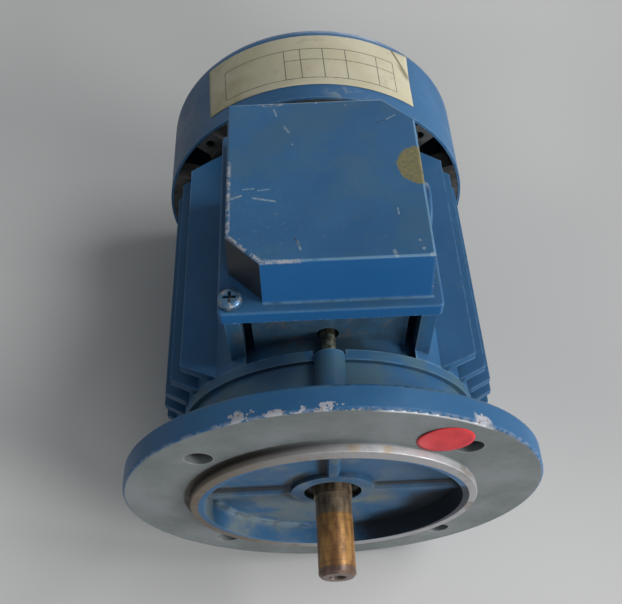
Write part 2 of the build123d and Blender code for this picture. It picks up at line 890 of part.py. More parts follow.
def slot_wedges():
    """Strips that close the slots below the coils."""
    r0 = stator_bore_r + slot_lip + wedge_gap
    half = slot_w / 2 - hole_gap
    wedge = block(-half, half, core_front_y, core_rear_y, r0, r0 + wedge_thick)
    return group(spread(wedge, slot_count, 180.0 / slot_count))


def rotor_core():
    """Laminated rotor core with round holes for the cage bars."""
    body = ring(core_front_y, core_rear_y, rotor_r, shaft_core_d / 2 + seat_gap)
    bar_r = cage_bar_d / 2
    hole = rod(core_front_y, core_rear_y, bar_r + slide_gap, z=rotor_r - cage_bar_cover - bar_r)
    for copy in spread(hole, cage_bar_count):
        body -= copy
    return body


def rotor_cage():
    """Cast cage: bars, two end rings and stirring fins."""
    bar_r = cage_bar_d / 2
    outer = rotor_r - cage_ring_inset
    inner = outer - cage_ring_h
    y0, y1 = core_front_y, core_rear_y
    body = ring(y0 - cage_ring_len, y0, outer, inner) + ring(y1, y1 + cage_ring_len, outer, inner)
    bar = rod(y0 - sink, y1 + sink, bar_r, z=rotor_r - cage_bar_cover - bar_r)
    for copy in spread(bar, cage_bar_count):
        body += copy
    half = cage_fin_thick / 2
    tip = cage_ring_len + cage_fin_len
    low, high = inner + cage_fin_inset, outer - cage_fin_inset
    front_fin = block(-half, half, y0 - tip, y0 - sink, low, high)
    rear_fin = block(-half, half, y1 + sink, y1 + tip, low, high)
    for copy in spread(front_fin + rear_fin, cage_fin_count):
        body += copy
    return body


def shaft():
    """Stepped shaft with a key slot on its underside and a tapped centre hole."""
    end_r = shaft_end_d / 2
    tip = -shaft_end_len
    seat_r = bearing_bore_r - seat_gap
    body_r = shaft_body_d / 2
    core_r = shaft_core_d / 2
    front_shoulder = front_bearing_y + bearing_w
    core_y0 = core_front_y - shaft_seat_extra
    core_y1 = core_rear_y + shaft_seat_extra
    profile = [
        (0, tip),
        (end_r - shaft_chamfer, tip),
        (end_r, tip + shaft_chamfer),
        (end_r, 0),
        (seat_r, 0),
        (seat_r, front_shoulder),
        (body_r, front_shoulder),
        (body_r, core_y0),
        (core_r, core_y0),
        (core_r, core_y1),
        (body_r, core_y1),
        (body_r, rear_bearing_y),
        (seat_r, rear_bearing_y),
        (seat_r, fan_y),
        (fan_seat_r, fan_y),
        (fan_seat_r, shaft_rear_y - shaft_chamfer),
        (fan_seat_r - shaft_chamfer, shaft_rear_y),
        (0, shaft_rear_y),
    ]
    body = turned(profile)
    slot_y = tip + key_slot_from_tip + key_slot_len / 2
    slot_outline = Rot(0, 0, 90) * SlotOverall(key_slot_len, key_slot_w)
    key_slot = extrude(Pos(0, slot_y, -end_r + key_slot_depth) * slot_outline, -2 * key_slot_depth)
    body -= at_angle(key_slot, key_slot_turn_deg)
    cone_r = centre_cone_d / 2
    hole_r = centre_hole_d / 2
    cone_len = (cone_r - hole_r) * tan(radians(centre_cone_slope))
    hole_end = tip + cone_len + centre_hole_len
    body -= turned(
        [
            (0, tip),
            (cone_r, tip),
            (hole_r, tip + cone_len),
            (hole_r, hole_end),
            (0, hole_end + hole_r / tan(radians(centre_cone_slope))),
        ]
    )
    body -= fan_flat_cut(fan_seat_r - fan_flat)
    clip_end_y = fan_end_y + fan_circlip_thick
    body -= ring(fan_end_y, clip_end_y, fan_seat_r + sink, fan_seat_r - fan_circlip_bite)
    return body


def fan_flat_cut(height):
    """What is cut away above the flat of the fan seat."""
    far = fan_seat_r + sink
    return block(-far, far, fan_y, shaft_rear_y + sink, height, far)


def cooling_fan():
    """Fan with straight blades, so that it works in both directions."""
    body = rod(fan_y, fan_end_y, fan_hub_d / 2)
    body += rod(fan_y, fan_y + fan_disc_thick, fan_disc_d / 2)
    half = fan_blade_thick / 2
    root = fan_hub_d / 2 - sink
    blade = block(-half, half, fan_y, fan_y + fan_blade_len, root, fan_d / 2)
    tip = Box(2 * fan_blade_thick, fan_tip_cut, fan_tip_cut)
    tip_cut = Pos(0, fan_y + fan_blade_len, fan_d / 2) * Rot(45, 0, 0) * tip
    for copy in spread(blade - tip_cut, fan_blade_count):
        body += copy
    bore = rod(fan_y, fan_end_y, fan_seat_r + slide_gap)
    return body - (bore - fan_flat_cut(fan_seat_r - fan_flat + slide_gap))


def fan_circlip():
    """Ring that keeps the fan on the shaft."""
    y0 = fan_end_y
    half = fan_circlip_opening / 2
    r0 = fan_seat_r - fan_circlip_bite + slide_gap
    clip = ring(y0, y0 + fan_circlip_thick, r0 + fan_circlip_w, r0)
    return clip - block(-half, half, y0, y0 + fan_circlip_thick, 0, 2 * fan_seat_r)


def rear_dust_ring():
    """Rubber ring that turns with the shaft against the rear shield."""
    y0 = hub_end_y + run_gap
    r0 = bearing_bore_r
    return turned(
        [
            (r0, y0 + dust_lip_start),
            (r0 + dust_lip_reach - dust_lip_thick, y0),
            (r0 + dust_lip_reach, y0),
            (r0 + dust_ring_body, y0 + dust_lip_start + dust_lip_thick),
            (r0 + dust_ring_body, y0 + dust_ring_len),
            (r0, y0 + dust_ring_len),
        ]
    )


def shaft_seal():
    """Front oil seal, fixed in the hub, with its lip just clear of the shaft."""
    y0 = hub_face_y + seal_from_face
    y1 = front_bearing_y - seal_from_bearing
    r0 = bearing_bore_r + run_gap
    r1 = seal_bore_r - seat_gap
    return turned(
        [
            (r0, y0 + seal_lip_rise),
            (r0 + seal_skin, y0),
            (r1, y0),
            (r1, y1),
            (r1 - seal_skin, y1),
            (r1 - seal_skin, y0 + seal_skin),
            (r0 + seal_skin / 2, y0 + seal_lip_rise + seal_skin),
        ]
    )


def ball_groove(middle_y):
    """Round groove that both races share."""
    pitch_r = (bearing_r + bearing_bore_r) / 2
    circle = Pos(pitch_r, middle_y) * Circle(ball_d / 2 + ball_gap)
    return revolve(circle, Axis.Y)


def outer_race(y0):
    """Outer ring of a ball bearing."""
    race = ring(y0, y0 + bearing_w, bearing_r, bearing_r - race_thick)
    return race - ball_groove(y0 + bearing_w / 2)


def inner_race(y0):
    """Inner ring of a ball bearing."""
    race = ring(y0, y0 + bearing_w, bearing_bore_r + race_thick, bearing_bore_r)
    return race - ball_groove(y0 + bearing_w / 2)


def bearing_balls(y0):
    """Balls of one bearing."""
    pitch_r = (bearing_r + bearing_bore_r) / 2
    ball = Pos(0, y0 + bearing_w / 2, pitch_r) * Sphere(ball_d / 2)
    return group(spread(ball, ball_count))


def ball_cage(y0):
    """Ring that keeps the balls apart."""
    pitch_r = (bearing_r + bearing_bore_r) / 2
    middle = y0 + bearing_w / 2
    half_t = cage_thick / 2
    cage = ring(middle - cage_w / 2, middle + cage_w / 2, pitch_r + half_t, pitch_r - half_t)
    pocket = Pos(0, middle, pitch_r) * Sphere(ball_d / 2 + ball_gap)
    for copy in spread(pocket, ball_count):
        cage -= copy
    return cage


def bearing_shields(y0):
    """Thin metal shields at both sides of a bearing."""
    r_out = bearing_r - race_thick - seat_gap
    r_in = bearing_bore_r + race_thick + run_gap
    near = y0 + bearing_shield_inset
    far = y0 + bearing_w - bearing_shield_inset - bearing_shield_thick
    return group([ring(y, y + bearing_shield_thick, r_out, r_in) for y in (near, far)])


def bearing_circlip():
    """Inside circlip that keeps the front bearing in its housing."""
    y0 = front_bearing_y + bearing_w
    r1 = bearing_r + circlip_bite - slide_gap
    half = circlip_opening / 2
    clip = ring(y0, y0 + circlip_thick, r1, r1 - circlip_w)
    return clip - block(-half, half, y0, y0 + circlip_thick, -r1, 0)


def wave_spring():
    """Spring washer that loads the rear bearing."""
    y0 = rear_bearing_y + bearing_w
    return ring(y0, y0 + wave_spring_len, bearing_r - hole_gap, bearing_r - hole_gap - wave_spring_w)


def shield_lug(outline):
    """One lug of the rear shield that carries the cowl, cut from rings by its outline."""
    y0 = cowl_front_y
    body = ring(y0, y0 + lug_len, cowl_inner_r - cowl_fit, lug_root_r)
    foot = ring(rear_joint_y, rear_plate_y, lug_foot_r, lug_root_r)
    return (body + foot) & outline


def rear_end_shield():
    """Rear shield: register, plate, lugs for the cowl and bearing housing."""
    y0, y1 = rear_joint_y, rear_plate_y
    lug_end_y = cowl_front_y + lug_len
    housing_start = rear_bearing_y - housing_overhang
    body = ring(y0 - register_len, y0, register_r, register_r - register_wall)
    body += rod(y0, y1, barrel_r)
    body += rod(housing_start, hub_end_y, housing_r)
    half_w = narrow_lug_w / 2
    narrow_outline = block(-half_w, half_w, y0, lug_end_y, barrel_r - frame_wall, cowl_r)
    lugs = spread(shield_lug(sector(wide_lug_deg)), tie_count)
    lugs += spread(shield_lug(narrow_outline), tie_count, narrow_lug_start_deg)
    for lug in lugs:
        body += lug
    for angle in tie_spots():
        body += at_angle(rod(y0, tie_seat_y, tie_boss_r, z=tie_r), angle)
        pocket = rod(tie_seat_y, lug_end_y, tie_head_pocket_d / 2, z=tie_r)
        body -= at_angle(pocket, angle)
    half = inner_rib_thick / 2
    rib = block(-half, half, y1 - sink, y1 + rear_rib_h, housing_r - sink, lug_root_r + sink)
    for copy in spread(rib, 2 * rib_count, 90.0 / rib_count):
        body += copy

    body -= rod(housing_start, housing_end_y, bearing_r + seat_gap)
    body -= rod(housing_end_y, hub_end_y, bearing_bore_r + run_gap)
    for angle in tie_spots():
        body -= at_angle(rod(y0 - register_len, tie_seat_y, tie_hole_r, z=tie_r), angle)
    screw_y = cowl_front_y + lug_len / 2
    for angle in cowl_screw_angles:
        hole_r = cowl_screw_d / 2 + screw_gap
        hole = post(0, screw_y, cowl_inner_r - cowl_screw_len, cowl_r, hole_r)
        body -= at_angle(hole, angle)
    lug_hole = rod(y0, lug_end_y, lug_hole_d / 2, z=lug_hole_r)
    for copy in spread(lug_hole, tie_count, narrow_lug_start_deg):
        body -= copy
    return body


def tie_bolts():
    """Long bolts from the rear shield into the front shield's bosses."""
    bolt = rod(tie_thread_end_y + tie_end_room, tie_seat_y, tie_bolt_d / 2, z=tie_r)
    outline = RegularPolygon(tie_head_af / 2, 6, major_radius=False)
    head = Pos(0, tie_seat_y, tie_r) * Rot(-90, 0, 0) * extrude(outline, tie_head_h)
    return group([at_angle(bolt + head, angle) for angle in tie_spots()])


def fan_cowl():
    """Sheet steel cowl with a slotted rear wall."""
    y0, y1 = cowl_front_y, cowl_end_y
    outer = rod(y0, y1, cowl_r)
    outer = fillet(outer.edges().sort_by(Axis.Y)[-1], cowl_round)
    inner = rod(y0 - sink, y1 - cowl_wall, cowl_inner_r)
    inner = fillet(inner.edges().sort_by(Axis.Y)[-1], cowl_round - cowl_wall)
    body = outer - inner
    slots = [
        ring(
            y1 - 2 * cowl_wall,
            y1 + sink,
            grille_inner_r + i * grille_slot_pitch + grille_slot_w,
            grille_inner_r + i * grille_slot_pitch,
        )
        for i in range(grille_rings)
    ]
    half = grille_spoke_w / 2
    spoke = block(-half, half, y1 - 3 * cowl_wall, y1 + 2 * sink, 0, cowl_r)
    spokes = spread(spoke, grille_spokes)
    for slot in slots:
        for bar in spokes:
            slot -= bar
        body -= slot
    screw_y = cowl_front_y + lug_len / 2
    for angle in cowl_screw_angles:
        hole = post(0, screw_y, cowl_inner_r - sink, cowl_r + sink, cowl_screw_d / 2 + hole_gap)
        body -= at_angle(hole, angle)
    return body


def cowl_screws():
    """Screws that hold the cowl to the lugs, all below the shaft's height."""
    screw = pan_screw(
        cowl_screw_d, cowl_screw_len - screw_end_gap, cowl_screw_head_d, cowl_screw_head_h
    )
    seat = Pos(0, cowl_front_y + lug_len / 2, cowl_r)
    return group([at_angle(seat * screw, angle) for angle in cowl_screw_angles])


def rating_label():
    """Blank self-adhesive label on top of the cowl."""
    y0 = cowl_front_y + label_from_rim
    r0 = cowl_r + seat_gap
    band = ring(y0, y0 + label_w, r0 + label_thick, r0)
    return at_angle(band & sector(label_arc_deg), label_turn_deg)


parts = {
    "flange_end_shield": flange_end_shield,
    "stator_frame": stator_frame,
    "rear_end_shield": rear_end_shield,
    "fan_cowl": fan_cowl,
    "cowl_screws": cowl_screws,
    "rating_label": rating_label,
    "tie_bolts": tie_bolts,
    "terminal_cover": terminal_cover,
    "cover_gasket": cover_gasket,
    "cover_screws": cover_screws,
    "terminal_block": terminal_block,
    "terminal_block_screws": terminal_block_screws,
    "terminal_studs": terminal_studs,
    "terminal_links": terminal_links,
    "terminal_washers": terminal_washers,
    "terminal_nuts": terminal_nuts,
    "earth_screw": earth_screw,
    "entry_plug": entry_plug,
    "winding_leads": winding_leads,
    "stator_core": stator_core,
    "winding_phase_1": lambda: phase_winding(0),
    "winding_phase_2": lambda: phase_winding(1),
    "winding_phase_3": lambda: phase_winding(2),
    "slot_wedges": slot_wedges,
    "shaft_seal": shaft_seal,
    "bearing_circlip": bearing_circlip,
    "wave_spring": wave_spring,
    "front_bearing_outer_ring": lambda: outer_race(front_bearing_y),
    "front_bearing_inner_ring": lambda: inner_race(front_bearing_y),
    "front_bearing_balls": lambda: bearing_balls(front_bearing_y),
    "front_bearing_cage": lambda: ball_cage(front_bearing_y),
    "front_bearing_shields": lambda: bearing_shields(front_bearing_y),
    "rear_bearing_outer_ring": lambda: outer_race(rear_bearing_y),
    "rear_bearing_inner_ring": lambda: inner_race(rear_bearing_y),
    "rear_bearing_balls": lambda: bearing_balls(rear_bearing_y),
    "rear_bearing_cage": lambda: ball_cage(rear_bearing_y),
    "rear_bearing_shields": lambda: bearing_shields(rear_bearing_y),
    "shaft": shaft,
    "rotor_core": rotor_core,
    "rotor_cage": rotor_cage,
    "cooling_fan": cooling_fan,
    "fan_circlip": fan_circlip,
    "rear_dust_ring": rear_dust_ring,
}

os.makedirs("parts", exist_ok=True)
for name, make in parts.items():
    export_step(make(), f"parts/{name}.step")
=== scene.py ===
import json
import math

import bmesh
import bpy
from mathutils import Matrix, Vector


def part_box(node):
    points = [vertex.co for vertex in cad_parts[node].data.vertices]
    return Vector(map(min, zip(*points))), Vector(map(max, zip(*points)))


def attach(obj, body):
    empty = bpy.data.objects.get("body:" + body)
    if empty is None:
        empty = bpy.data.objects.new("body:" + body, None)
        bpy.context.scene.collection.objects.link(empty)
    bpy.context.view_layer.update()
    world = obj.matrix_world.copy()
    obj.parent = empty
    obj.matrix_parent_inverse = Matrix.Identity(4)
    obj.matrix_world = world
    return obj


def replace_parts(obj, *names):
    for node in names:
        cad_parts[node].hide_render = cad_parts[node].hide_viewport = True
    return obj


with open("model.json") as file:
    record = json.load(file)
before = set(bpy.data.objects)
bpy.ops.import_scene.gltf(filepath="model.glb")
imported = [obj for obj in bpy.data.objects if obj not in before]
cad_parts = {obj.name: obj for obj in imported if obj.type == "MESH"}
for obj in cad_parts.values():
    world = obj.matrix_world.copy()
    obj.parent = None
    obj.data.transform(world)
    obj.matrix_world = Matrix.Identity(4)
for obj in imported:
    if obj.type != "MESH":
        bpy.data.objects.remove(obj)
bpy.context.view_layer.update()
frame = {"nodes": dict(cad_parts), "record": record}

MM = 0.001

# Camera, as measured from the photograph: degrees, metres and pixels
CAMERA_AZIMUTH = -0.81
CAMERA_ELEVATION = 56.78
CAMERA_ROLL = -1.82
CAMERA_DISTANCE = 0.17791
CAMERA_TARGET = (-0.0062, 0.0, 0.13959)
PHOTO_WIDTH_PX = 622
FOCAL_PX = 758.11
SENSOR_WIDTH = 36.0
CLIP_START = 0.01

# Places taken from the frame, in metres
_, flange_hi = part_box("flange_end_shield")
_, cowl_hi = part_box("fan_cowl")
label_lo, label_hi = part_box("rating_label")
FLANGE_R = flange_hi.x
COWL_R = cowl_hi.x

# Directions of the frame
FORWARD = (0, -1, 0)
UP = (0, 0, 1)
LEFT = (-1, 0, 0)
LEFT_FORWARD = (-0.707, -0.707, 0.05)

# Places in millimetres: radii from the shaft axis, or x, y or z of the frame.
# A pair is where a soft border starts and ends, or the two sides of a band.
SPIGOT_OUTER_R = 55.0
SPIGOT_INNER_R = 49.4
SPIGOT_SIDE_Y = (-0.1, 0.1)
RING_FACE_Y = (-1.0, -0.4)
RING_PAINT_SHARE = 0.0009
FACE_EDGE_R = (78.9, 79.35)
FACE_EDGE_Y = (0.4, 0.7)
FLANGE_BACK_Y = 9.0
FLANGE_HOLE_SPOT = 45.96
FLANGE_HOLE_R = 5.0
HOLE_DEPTH_Y = (0.8, 4.5)
NECK_Y = (8.0, 34.0)
NECK_GRIME = ((-20.0, 28.0, 54.0), (22.0, 12.0, 14.0))
COVER_TOP_Z = 100.0

# Dirt on the frame, below the front of the terminal box
BOX_DIRT_Y = (32.0, 52.0)
BOX_DIRT_SIDES = (30.0, 36.0)
BOX_DIRT_FOOT_Z = (48.0, 54.0)
BOX_DIRT_TOP_Z = (71.0, 72.0)

# Chips on the front edge of the flange
CHIP_STRIP_R = (77.5, 78.6)
CHIP_DEPTH_Y = (0.2, 0.9)
CHIP_RAGGED = 3.4
CHIPPED_Z = (52.0, 66.0)
CHIPPED_LEFT_X = (-42.0, -30.0)
CHIPPED_MIDDLE_X = (12.0, 20.0)
CHIPPED_RIGHT_X = (45.0, 51.0)
THIN_CHIPS_R = (78.2, 79.0)
THIN_CHIPS_Y = (0.5, 1.1)

# Dust and stains in the dish of the flange, with painted shade, painted shadows and a painted
# highlight
DISH_FLOOR_Y = 4.3
DISH_END_Y = (8.0, 9.0)
DISH_EDGE_R = (SPIGOT_INNER_R + 0.10, SPIGOT_INNER_R + 0.14)
DUSTY_X = (6.0, 26.0)
YELLOW_SPOT = ((17.0, DISH_FLOOR_Y, -13.0), (13.0, 8.0, 10.0))
# Painted shadows on the hub's left and beside the ribs: radii, x, y, and strokes of start, end and
# width
HUB_SHADOW_R = (16.4, 20.0)
HUB_SHADOW_X = (-2.0, -12.0)
RIB_SHADOW_Y = (2.6, 3.6)
RIB_SHADOWS = (
    ((-3.6, 17.0), (-3.2, 48.0), 5.0),
    ((-17.5, 3.4), (-48.0, 3.2), 4.2),
    ((18.0, 3.2), (48.0, 3.0), 2.6),
)
# Pale band at the lower-left foot of the dish's wall, dust and a painted highlight: radii, x, y and
# z
FILLET_DUST_SHEEN_R = (45.6, 48.6)
FILLET_DUST_SHEEN_X = (-6.0, 4.0)
FILLET_DUST_SHEEN_Y = (2.0, 3.6)
FILLET_DUST_SHEEN_Z = (-8.0, 2.0)
# Painted shadow at the lower right of the dish: its side, wander, reaches on floor and wall, and x
# on the wall
SHADOW_SIDE = (0.776, 0.0, -0.632)
SHADOW_WANDER = 26.0
SHADOW_FLOOR_REACH = (31.0, 43.0)
SHADOW_WALL_REACH = (22.0, 28.0)
SHADOW_WALL_X = (18.0, 34.0)
DISH_WALL_R = (48.7, 52.5)
DISH_WALL_Y = (3.6, 4.2)
SEAL_SEAT_R = (11.3, 11.8)
SEAL_SEAT_Y = (2.6, 3.2)

# Stains on the raised ring of the flange, its painted shade and cast painted shadow, and a painted
# highlight at the rim
RING_SHADED_X = (-45.0, 15.0)
RING_SPOTS = (
    ((6.4, -1.8, 54.8), (3.6, 3.0, 2.0)),
    ((17.4, -1.8, 51.8), (3.0, 3.0, 2.0)),
)
# Painted shadow of the raised ring on the face at its left: radii, x and y
RING_SHADOW_R = (54.0, 57.4)
RING_SHADOW_X = (-34.0, 18.0)
RING_SHADOW_Y = (-2.6, -0.8)
RIM_HIGHLIGHT_R = (78.3, 79.6)
RIM_HIGHLIGHT_X = (14.0, 50.0)
RIM_HIGHLIGHT_Z = (50.0, 60.0)

# Marks on the cover's top: start, end and width, or centre and radius
PALE_SCRATCHES = (
    ((-12.2, 99.6), (-10.7, 96.8), 0.55),
    ((-15.7, 108.4), (-14.9, 105.3), 0.40),
    ((-23.2, 67.4), (-16.0, 65.7), 0.45),
    ((-26.4, 71.3), (-23.0, 71.5), 0.28),
    ((-21.5, 70.6), (-17.8, 71.0), 0.26),
    ((-30.3, 67.4), (-27.2, 68.6), 0.50),
    ((23.6, 101.2), (26.9, 103.4), 0.30),
    ((-9.2, 48.9), (-8.3, 45.6), 0.40),
    ((20.8, 43.6), (21.5, 41.6), 0.65),
    ((23.6, 60.8), (23.8, 58.2), 0.30),
)
PALE_SPREAD = 1.7
DARK_SCRATCHES = (
    ((19.7, 99.7), (23.4, 101.1), 0.55),
    ((-9.9, 50.2), (-8.6, 47.0), 0.60),
    ((-20.4, 110.6), (-13.8, 110.9), 0.50),
)
PALE_DOTS = (
    (-0.6, 111.2, 0.7),
    (9.9, 109.4, 0.5),
    (29.2, 47.4, 0.6),
    (30.1, 44.1, 0.7),
    (-9.6, 91.0, 0.5),
    (32.6, 41.6, 1.1),
)
CHIPPED_EDGES = (
    ((-20.2, 111.4), (-13.3, 111.6), 2.2),
    ((-23.5, 41.3), (-8.0, 40.9), 1.9),
    ((-31.6, 83.0), (-31.6, 52.0), 1.8),
    ((-31.2, 51.5), (-21.0, 41.6), 1.6),
)
# Worn edges of the cover's top, painted as rubbed paint and a painted highlight
WORN_EDGES_AND_HIGHLIGHTS = (
    ((-19.0, 41.4), (33.0, 41.4), 1.1),
    ((-31.0, 111.6), (22.0, 111.6), 1.0),
    ((33.2, 100.0), (33.2, 42.0), 0.7),
)

# Worn edges below the cover's top, with a painted highlight: along its front foot, and up its right
# front corner
WORN_SIDES_AND_HIGHLIGHTS = (
    ((-21.0, 39.9, 79.1), (34.6, 39.9, 79.1), 1.3),
    ((34.3, 40.5, 80.0), (33.4, 41.3, 99.6), 0.9),
)

# Other places on the cover
SPECKED_CORNER = ((-24.0, 60.0, COVER_TOP_Z), (26.0, 30.0, 10.0))
TURNED_PATCH = ((32.5, 79.5, COVER_TOP_Z), (10.0, 12.0, 8.0))
CUT_CORNER_FOOT_Z = (79.5, 81.0)
CUT_CORNER_TOP_Z = (98.6, 99.4)

# Places on the cowl
COWL_DUST_Y = (186.0, 193.0)
COWL_SMEAR = ((14.0, 150.5, 69.0), (13.0, 6.0, 6.0))

# Places on the shaft end, from its tip to the hub
VARNISH_Y = (-26.5, -6.5)
TIP_Y = (-27.0, -25.5)
TIP_RING_R = (4.0, 6.4)
CENTRE_HOLE_R = (2.9, 3.3)
CENTRE_HOLE_Y = (-12.0, -10.0)

# Colours, linear
BLUE = (0.020, 0.088, 0.196, 1)
BLUE_LIGHT = (0.030, 0.112, 0.236, 1)
BLUE_FORWARD = (0.012, 0.096, 0.270, 1)
# Lighter blue for edges: rubbed paint and a painted highlight
BLUE_EDGE_WEAR_AND_HIGHLIGHT = (0.110, 0.215, 0.330, 1)
BLUE_DARK = (0.014, 0.064, 0.148, 1)
PRIMER = (0.300, 0.310, 0.345, 1)
PRIMER_BROWN = (0.150, 0.115, 0.095, 1)
# Near black for painted shade in holes and recesses
SHADE_BLACK = (0.010, 0.010, 0.010, 1)
# Dark colour used both for real grime and for painted shade and painted shadows
GRIME_AND_SHADE = (0.022, 0.021, 0.020, 1)
DUST = (0.115, 0.135, 0.130, 1)
PALE_DUST_AND_SHEEN = (0.170, 0.245, 0.310, 1)
TEAL_DIRT = (0.060, 0.105, 0.105, 1)
OCHRE = (0.180, 0.150, 0.050, 1)
OCHRE_DARK = (0.120, 0.108, 0.046, 1)
BROWN_STAIN = (0.130, 0.090, 0.050, 1)
DISH_SHADE = (0.020, 0.050, 0.085, 1)
DISH_SHADOW = (0.009, 0.010, 0.012, 1)
SEAL_SEAT_SHADE = (0.010, 0.009, 0.008, 1)
FACE_METAL = (0.215, 0.235, 0.248, 1)
FACE_METAL_DARK = (0.150, 0.170, 0.172, 1)
FACE_SPECKLE = (0.42, 0.43, 0.43, 1)
FACE_PIT = (0.09, 0.09, 0.09, 1)
HOLE_SHADE = (0.03, 0.03, 0.03, 1)
METAL_EDGE_HIGHLIGHT = (0.50, 0.50, 0.49, 1)
RIM_HIGHLIGHT = (0.75, 0.76, 0.78, 1)
RING_METAL = (0.330, 0.330, 0.345, 1)
RING_SHADED_BROWN = (0.150, 0.128, 0.105, 1)
RING_SPOT = (0.30, 0.20, 0.08, 1)
RING_SHADOW = (0.028, 0.023, 0.018, 1)
PALE_SCRATCH = (0.26, 0.32, 0.36, 1)
PALE_SPECK = (0.130, 0.185, 0.215, 1)
TEAL_FADE = (0.050, 0.100, 0.140, 1)
CORNER_SHADE = (0.012, 0.011, 0.011, 1)
COWL_DUST = (0.10, 0.12, 0.12, 1)
COWL_PALE_SMEAR = (0.16, 0.20, 0.23, 1)
SCREW_STEEL = (0.24, 0.26, 0.29, 1)
SCREW_STEEL_DARK = (0.08, 0.09, 0.10, 1)
SCREW_BLUE = (0.05, 0.12, 0.21, 1)
CASTING = (0.085, 0.084, 0.080, 1)
CASTING_CORNER_SHADE = (0.012, 0.012, 0.011, 1)
VARNISH = (0.360, 0.185, 0.050, 1)
VARNISH_DARK = (0.150, 0.070, 0.024, 1)
DARK_STEEL = (0.050, 0.034, 0.022, 1)
PALE_STEEL = (0.240, 0.175, 0.115, 1)
TIP_BROWN = (0.10, 0.055, 0.045, 1)
TIP_RING = (0.14, 0.115, 0.105, 1)
SHEET_EDGE = (0.20, 0.20, 0.21, 1)
SHEET_GAP = (0.07, 0.07, 0.075, 1)
LABEL_CREAM = (0.420, 0.392, 0.290, 1)
LABEL_STAIN = (0.275, 0.238, 0.125, 1)
LABEL_INK = (0.070, 0.065, 0.055, 1)
LABEL_CREASE_SHADE = (0.060, 0.048, 0.016, 1)
STICKER_RED = (0.520, 0.030, 0.036, 1)
STICKER_DARK = (0.420, 0.026, 0.038, 1)
STICKER_RUBBED = (0.40, 0.12, 0.12, 1)
FLOOR = (0.42, 0.42, 0.42, 1)
FLOOR_LIGHT = (0.525, 0.525, 0.52, 1)

# Small metal parts by their slot: material's name, dark and light colour, and roughness
PLATE_ROUGH = (0.30, 0.50)
FINE_ROUGH = (0.12, 0.22)
PLATED = {
    "zinc_steel": ("zinc_plate", (0.20, 0.19, 0.16, 1), (0.48, 0.46, 0.40, 1), PLATE_ROUGH),
    "brass": ("brass_parts", (0.42, 0.28, 0.10, 1), (0.70, 0.50, 0.20, 1), PLATE_ROUGH),
    "copper": ("enamelled_copper", (0.28, 0.09, 0.035, 1), (0.50, 0.18, 0.07, 1), PLATE_ROUGH),
    "spring_steel": ("spring_steel", (0.03, 0.03, 0.03, 1), (0.09, 0.09, 0.09, 1), PLATE_ROUGH),
    "bearing_steel": ("bearing_steel", (0.45, 0.45, 0.46, 1), (0.62, 0.62, 0.63, 1), FINE_ROUGH),
}
TIE_BOLT = ("tie_bolt_steel", (0.060, 0.062, 0.048, 1), (0.190, 0.200, 0.155, 1), PLATE_ROUGH)

# Plastic and rubber by slot: dark and light colour. The slot's name is also the material's.
MOULDED = {
    "black_rubber": ((0.008, 0.008, 0.008, 1), (0.022, 0.021, 0.020, 1)),
    "block_plastic": ((0.030, 0.022, 0.018, 1), (0.055, 0.042, 0.035, 1)),
    "black_plastic": ((0.012, 0.012, 0.013, 1), (0.028, 0.028, 0.030, 1)),
    "lead_insulation": ((0.20, 0.015, 0.010, 1), (0.32, 0.025, 0.018, 1)),
    "wedge_plastic": ((0.45, 0.36, 0.20, 1), (0.60, 0.50, 0.30, 1)),
}

# Numbers of the sockets of a Mix node, which shares names between its kinds
MIX_NUMBERS = (2, 3, 0)
MIX_COLORS = (6, 7, 2)

# A stroke's full core and the end of its soft border, as shares of its width
STROKE_CORE = 0.2
STROKE_HAZE = 0.75
OCCLUSION_SAMPLES = 8

# Printed table of the label: shares of the label's length and width
TABLE_LEFT, TABLE_RIGHT = 0.10, 0.91
TABLE_LOW, TABLE_HIGH = 0.13, 0.72
TABLE_COLUMNS = (0.365, 0.455, 0.580, 0.707, 0.890)
TABLE_ROW = 0.50
LINE_HALF_U = 0.0022
LINE_HALF_V = 0.0070

# Label's sheet: its ends are given as degrees round the cowl
LABEL_THICK = 0.25 * MM
LABEL_GAP = 0.03 * MM
LABEL_STEPS_ROUND = 64
LABEL_STEPS_ALONG = 24
LABEL_FRONT_ANGLES = (-40.1, 38.1)
LABEL_REAR_ANGLES = (-42.0, 37.6)
LABEL_SHORTER = 0.8 * MM

# Its corner lifts where CORNER_SLANT x u + v is over CORNER_START
CORNER_LIFT = 0.9 * MM
CORNER_SLANT = 5.5
CORNER_START = 5.9
CORNER_SPAN = 0.6
CORNER_CURL = 1.3

# Round sticker on the flange: its lifted edge is at an angle in radians
STICKER_CENTRE = (0.0369, 0.0531)
STICKER_R = 0.0097
STICKER_THICK = 0.15 * MM
STICKER_GAP = 0.02 * MM
STICKER_LIFT = 0.25 * MM
STICKER_LIFT_ANGLE = 2.4
STICKER_LIFT_POWER = 6
STICKER_RINGS = 8
STICKER_SIDES = 48

# Rounds on the sharp edges of the cast and pressed nodes, in millimetres
EDGE_ROUNDS = {
    "flange_end_shield": 0.5,
    "stator_frame": 0.5,
    "terminal_cover": 0.5,
    "fan_cowl": 0.3,
}
ROUND_SEGMENTS = 2
WELD_GAP = 0.002 * MM

# Edges that turn by fewer degrees than this stay as they are. The flange's rim is rounded
# in the CAD already, in coarse steps.
USUAL_ROUND_FROM_DEG = 40.0
ROUND_FROM_DEG = {"flange_end_shield": 52.0}

# Floor, in metres: y and z of the two places where the motor rests on it
FLOOR_SIZE = 1.4
FLOOR_FRONT = (4 * MM, -FLANGE_R)
FLOOR_REAR = (cowl_hi.y - 8 * MM, -COWL_R)

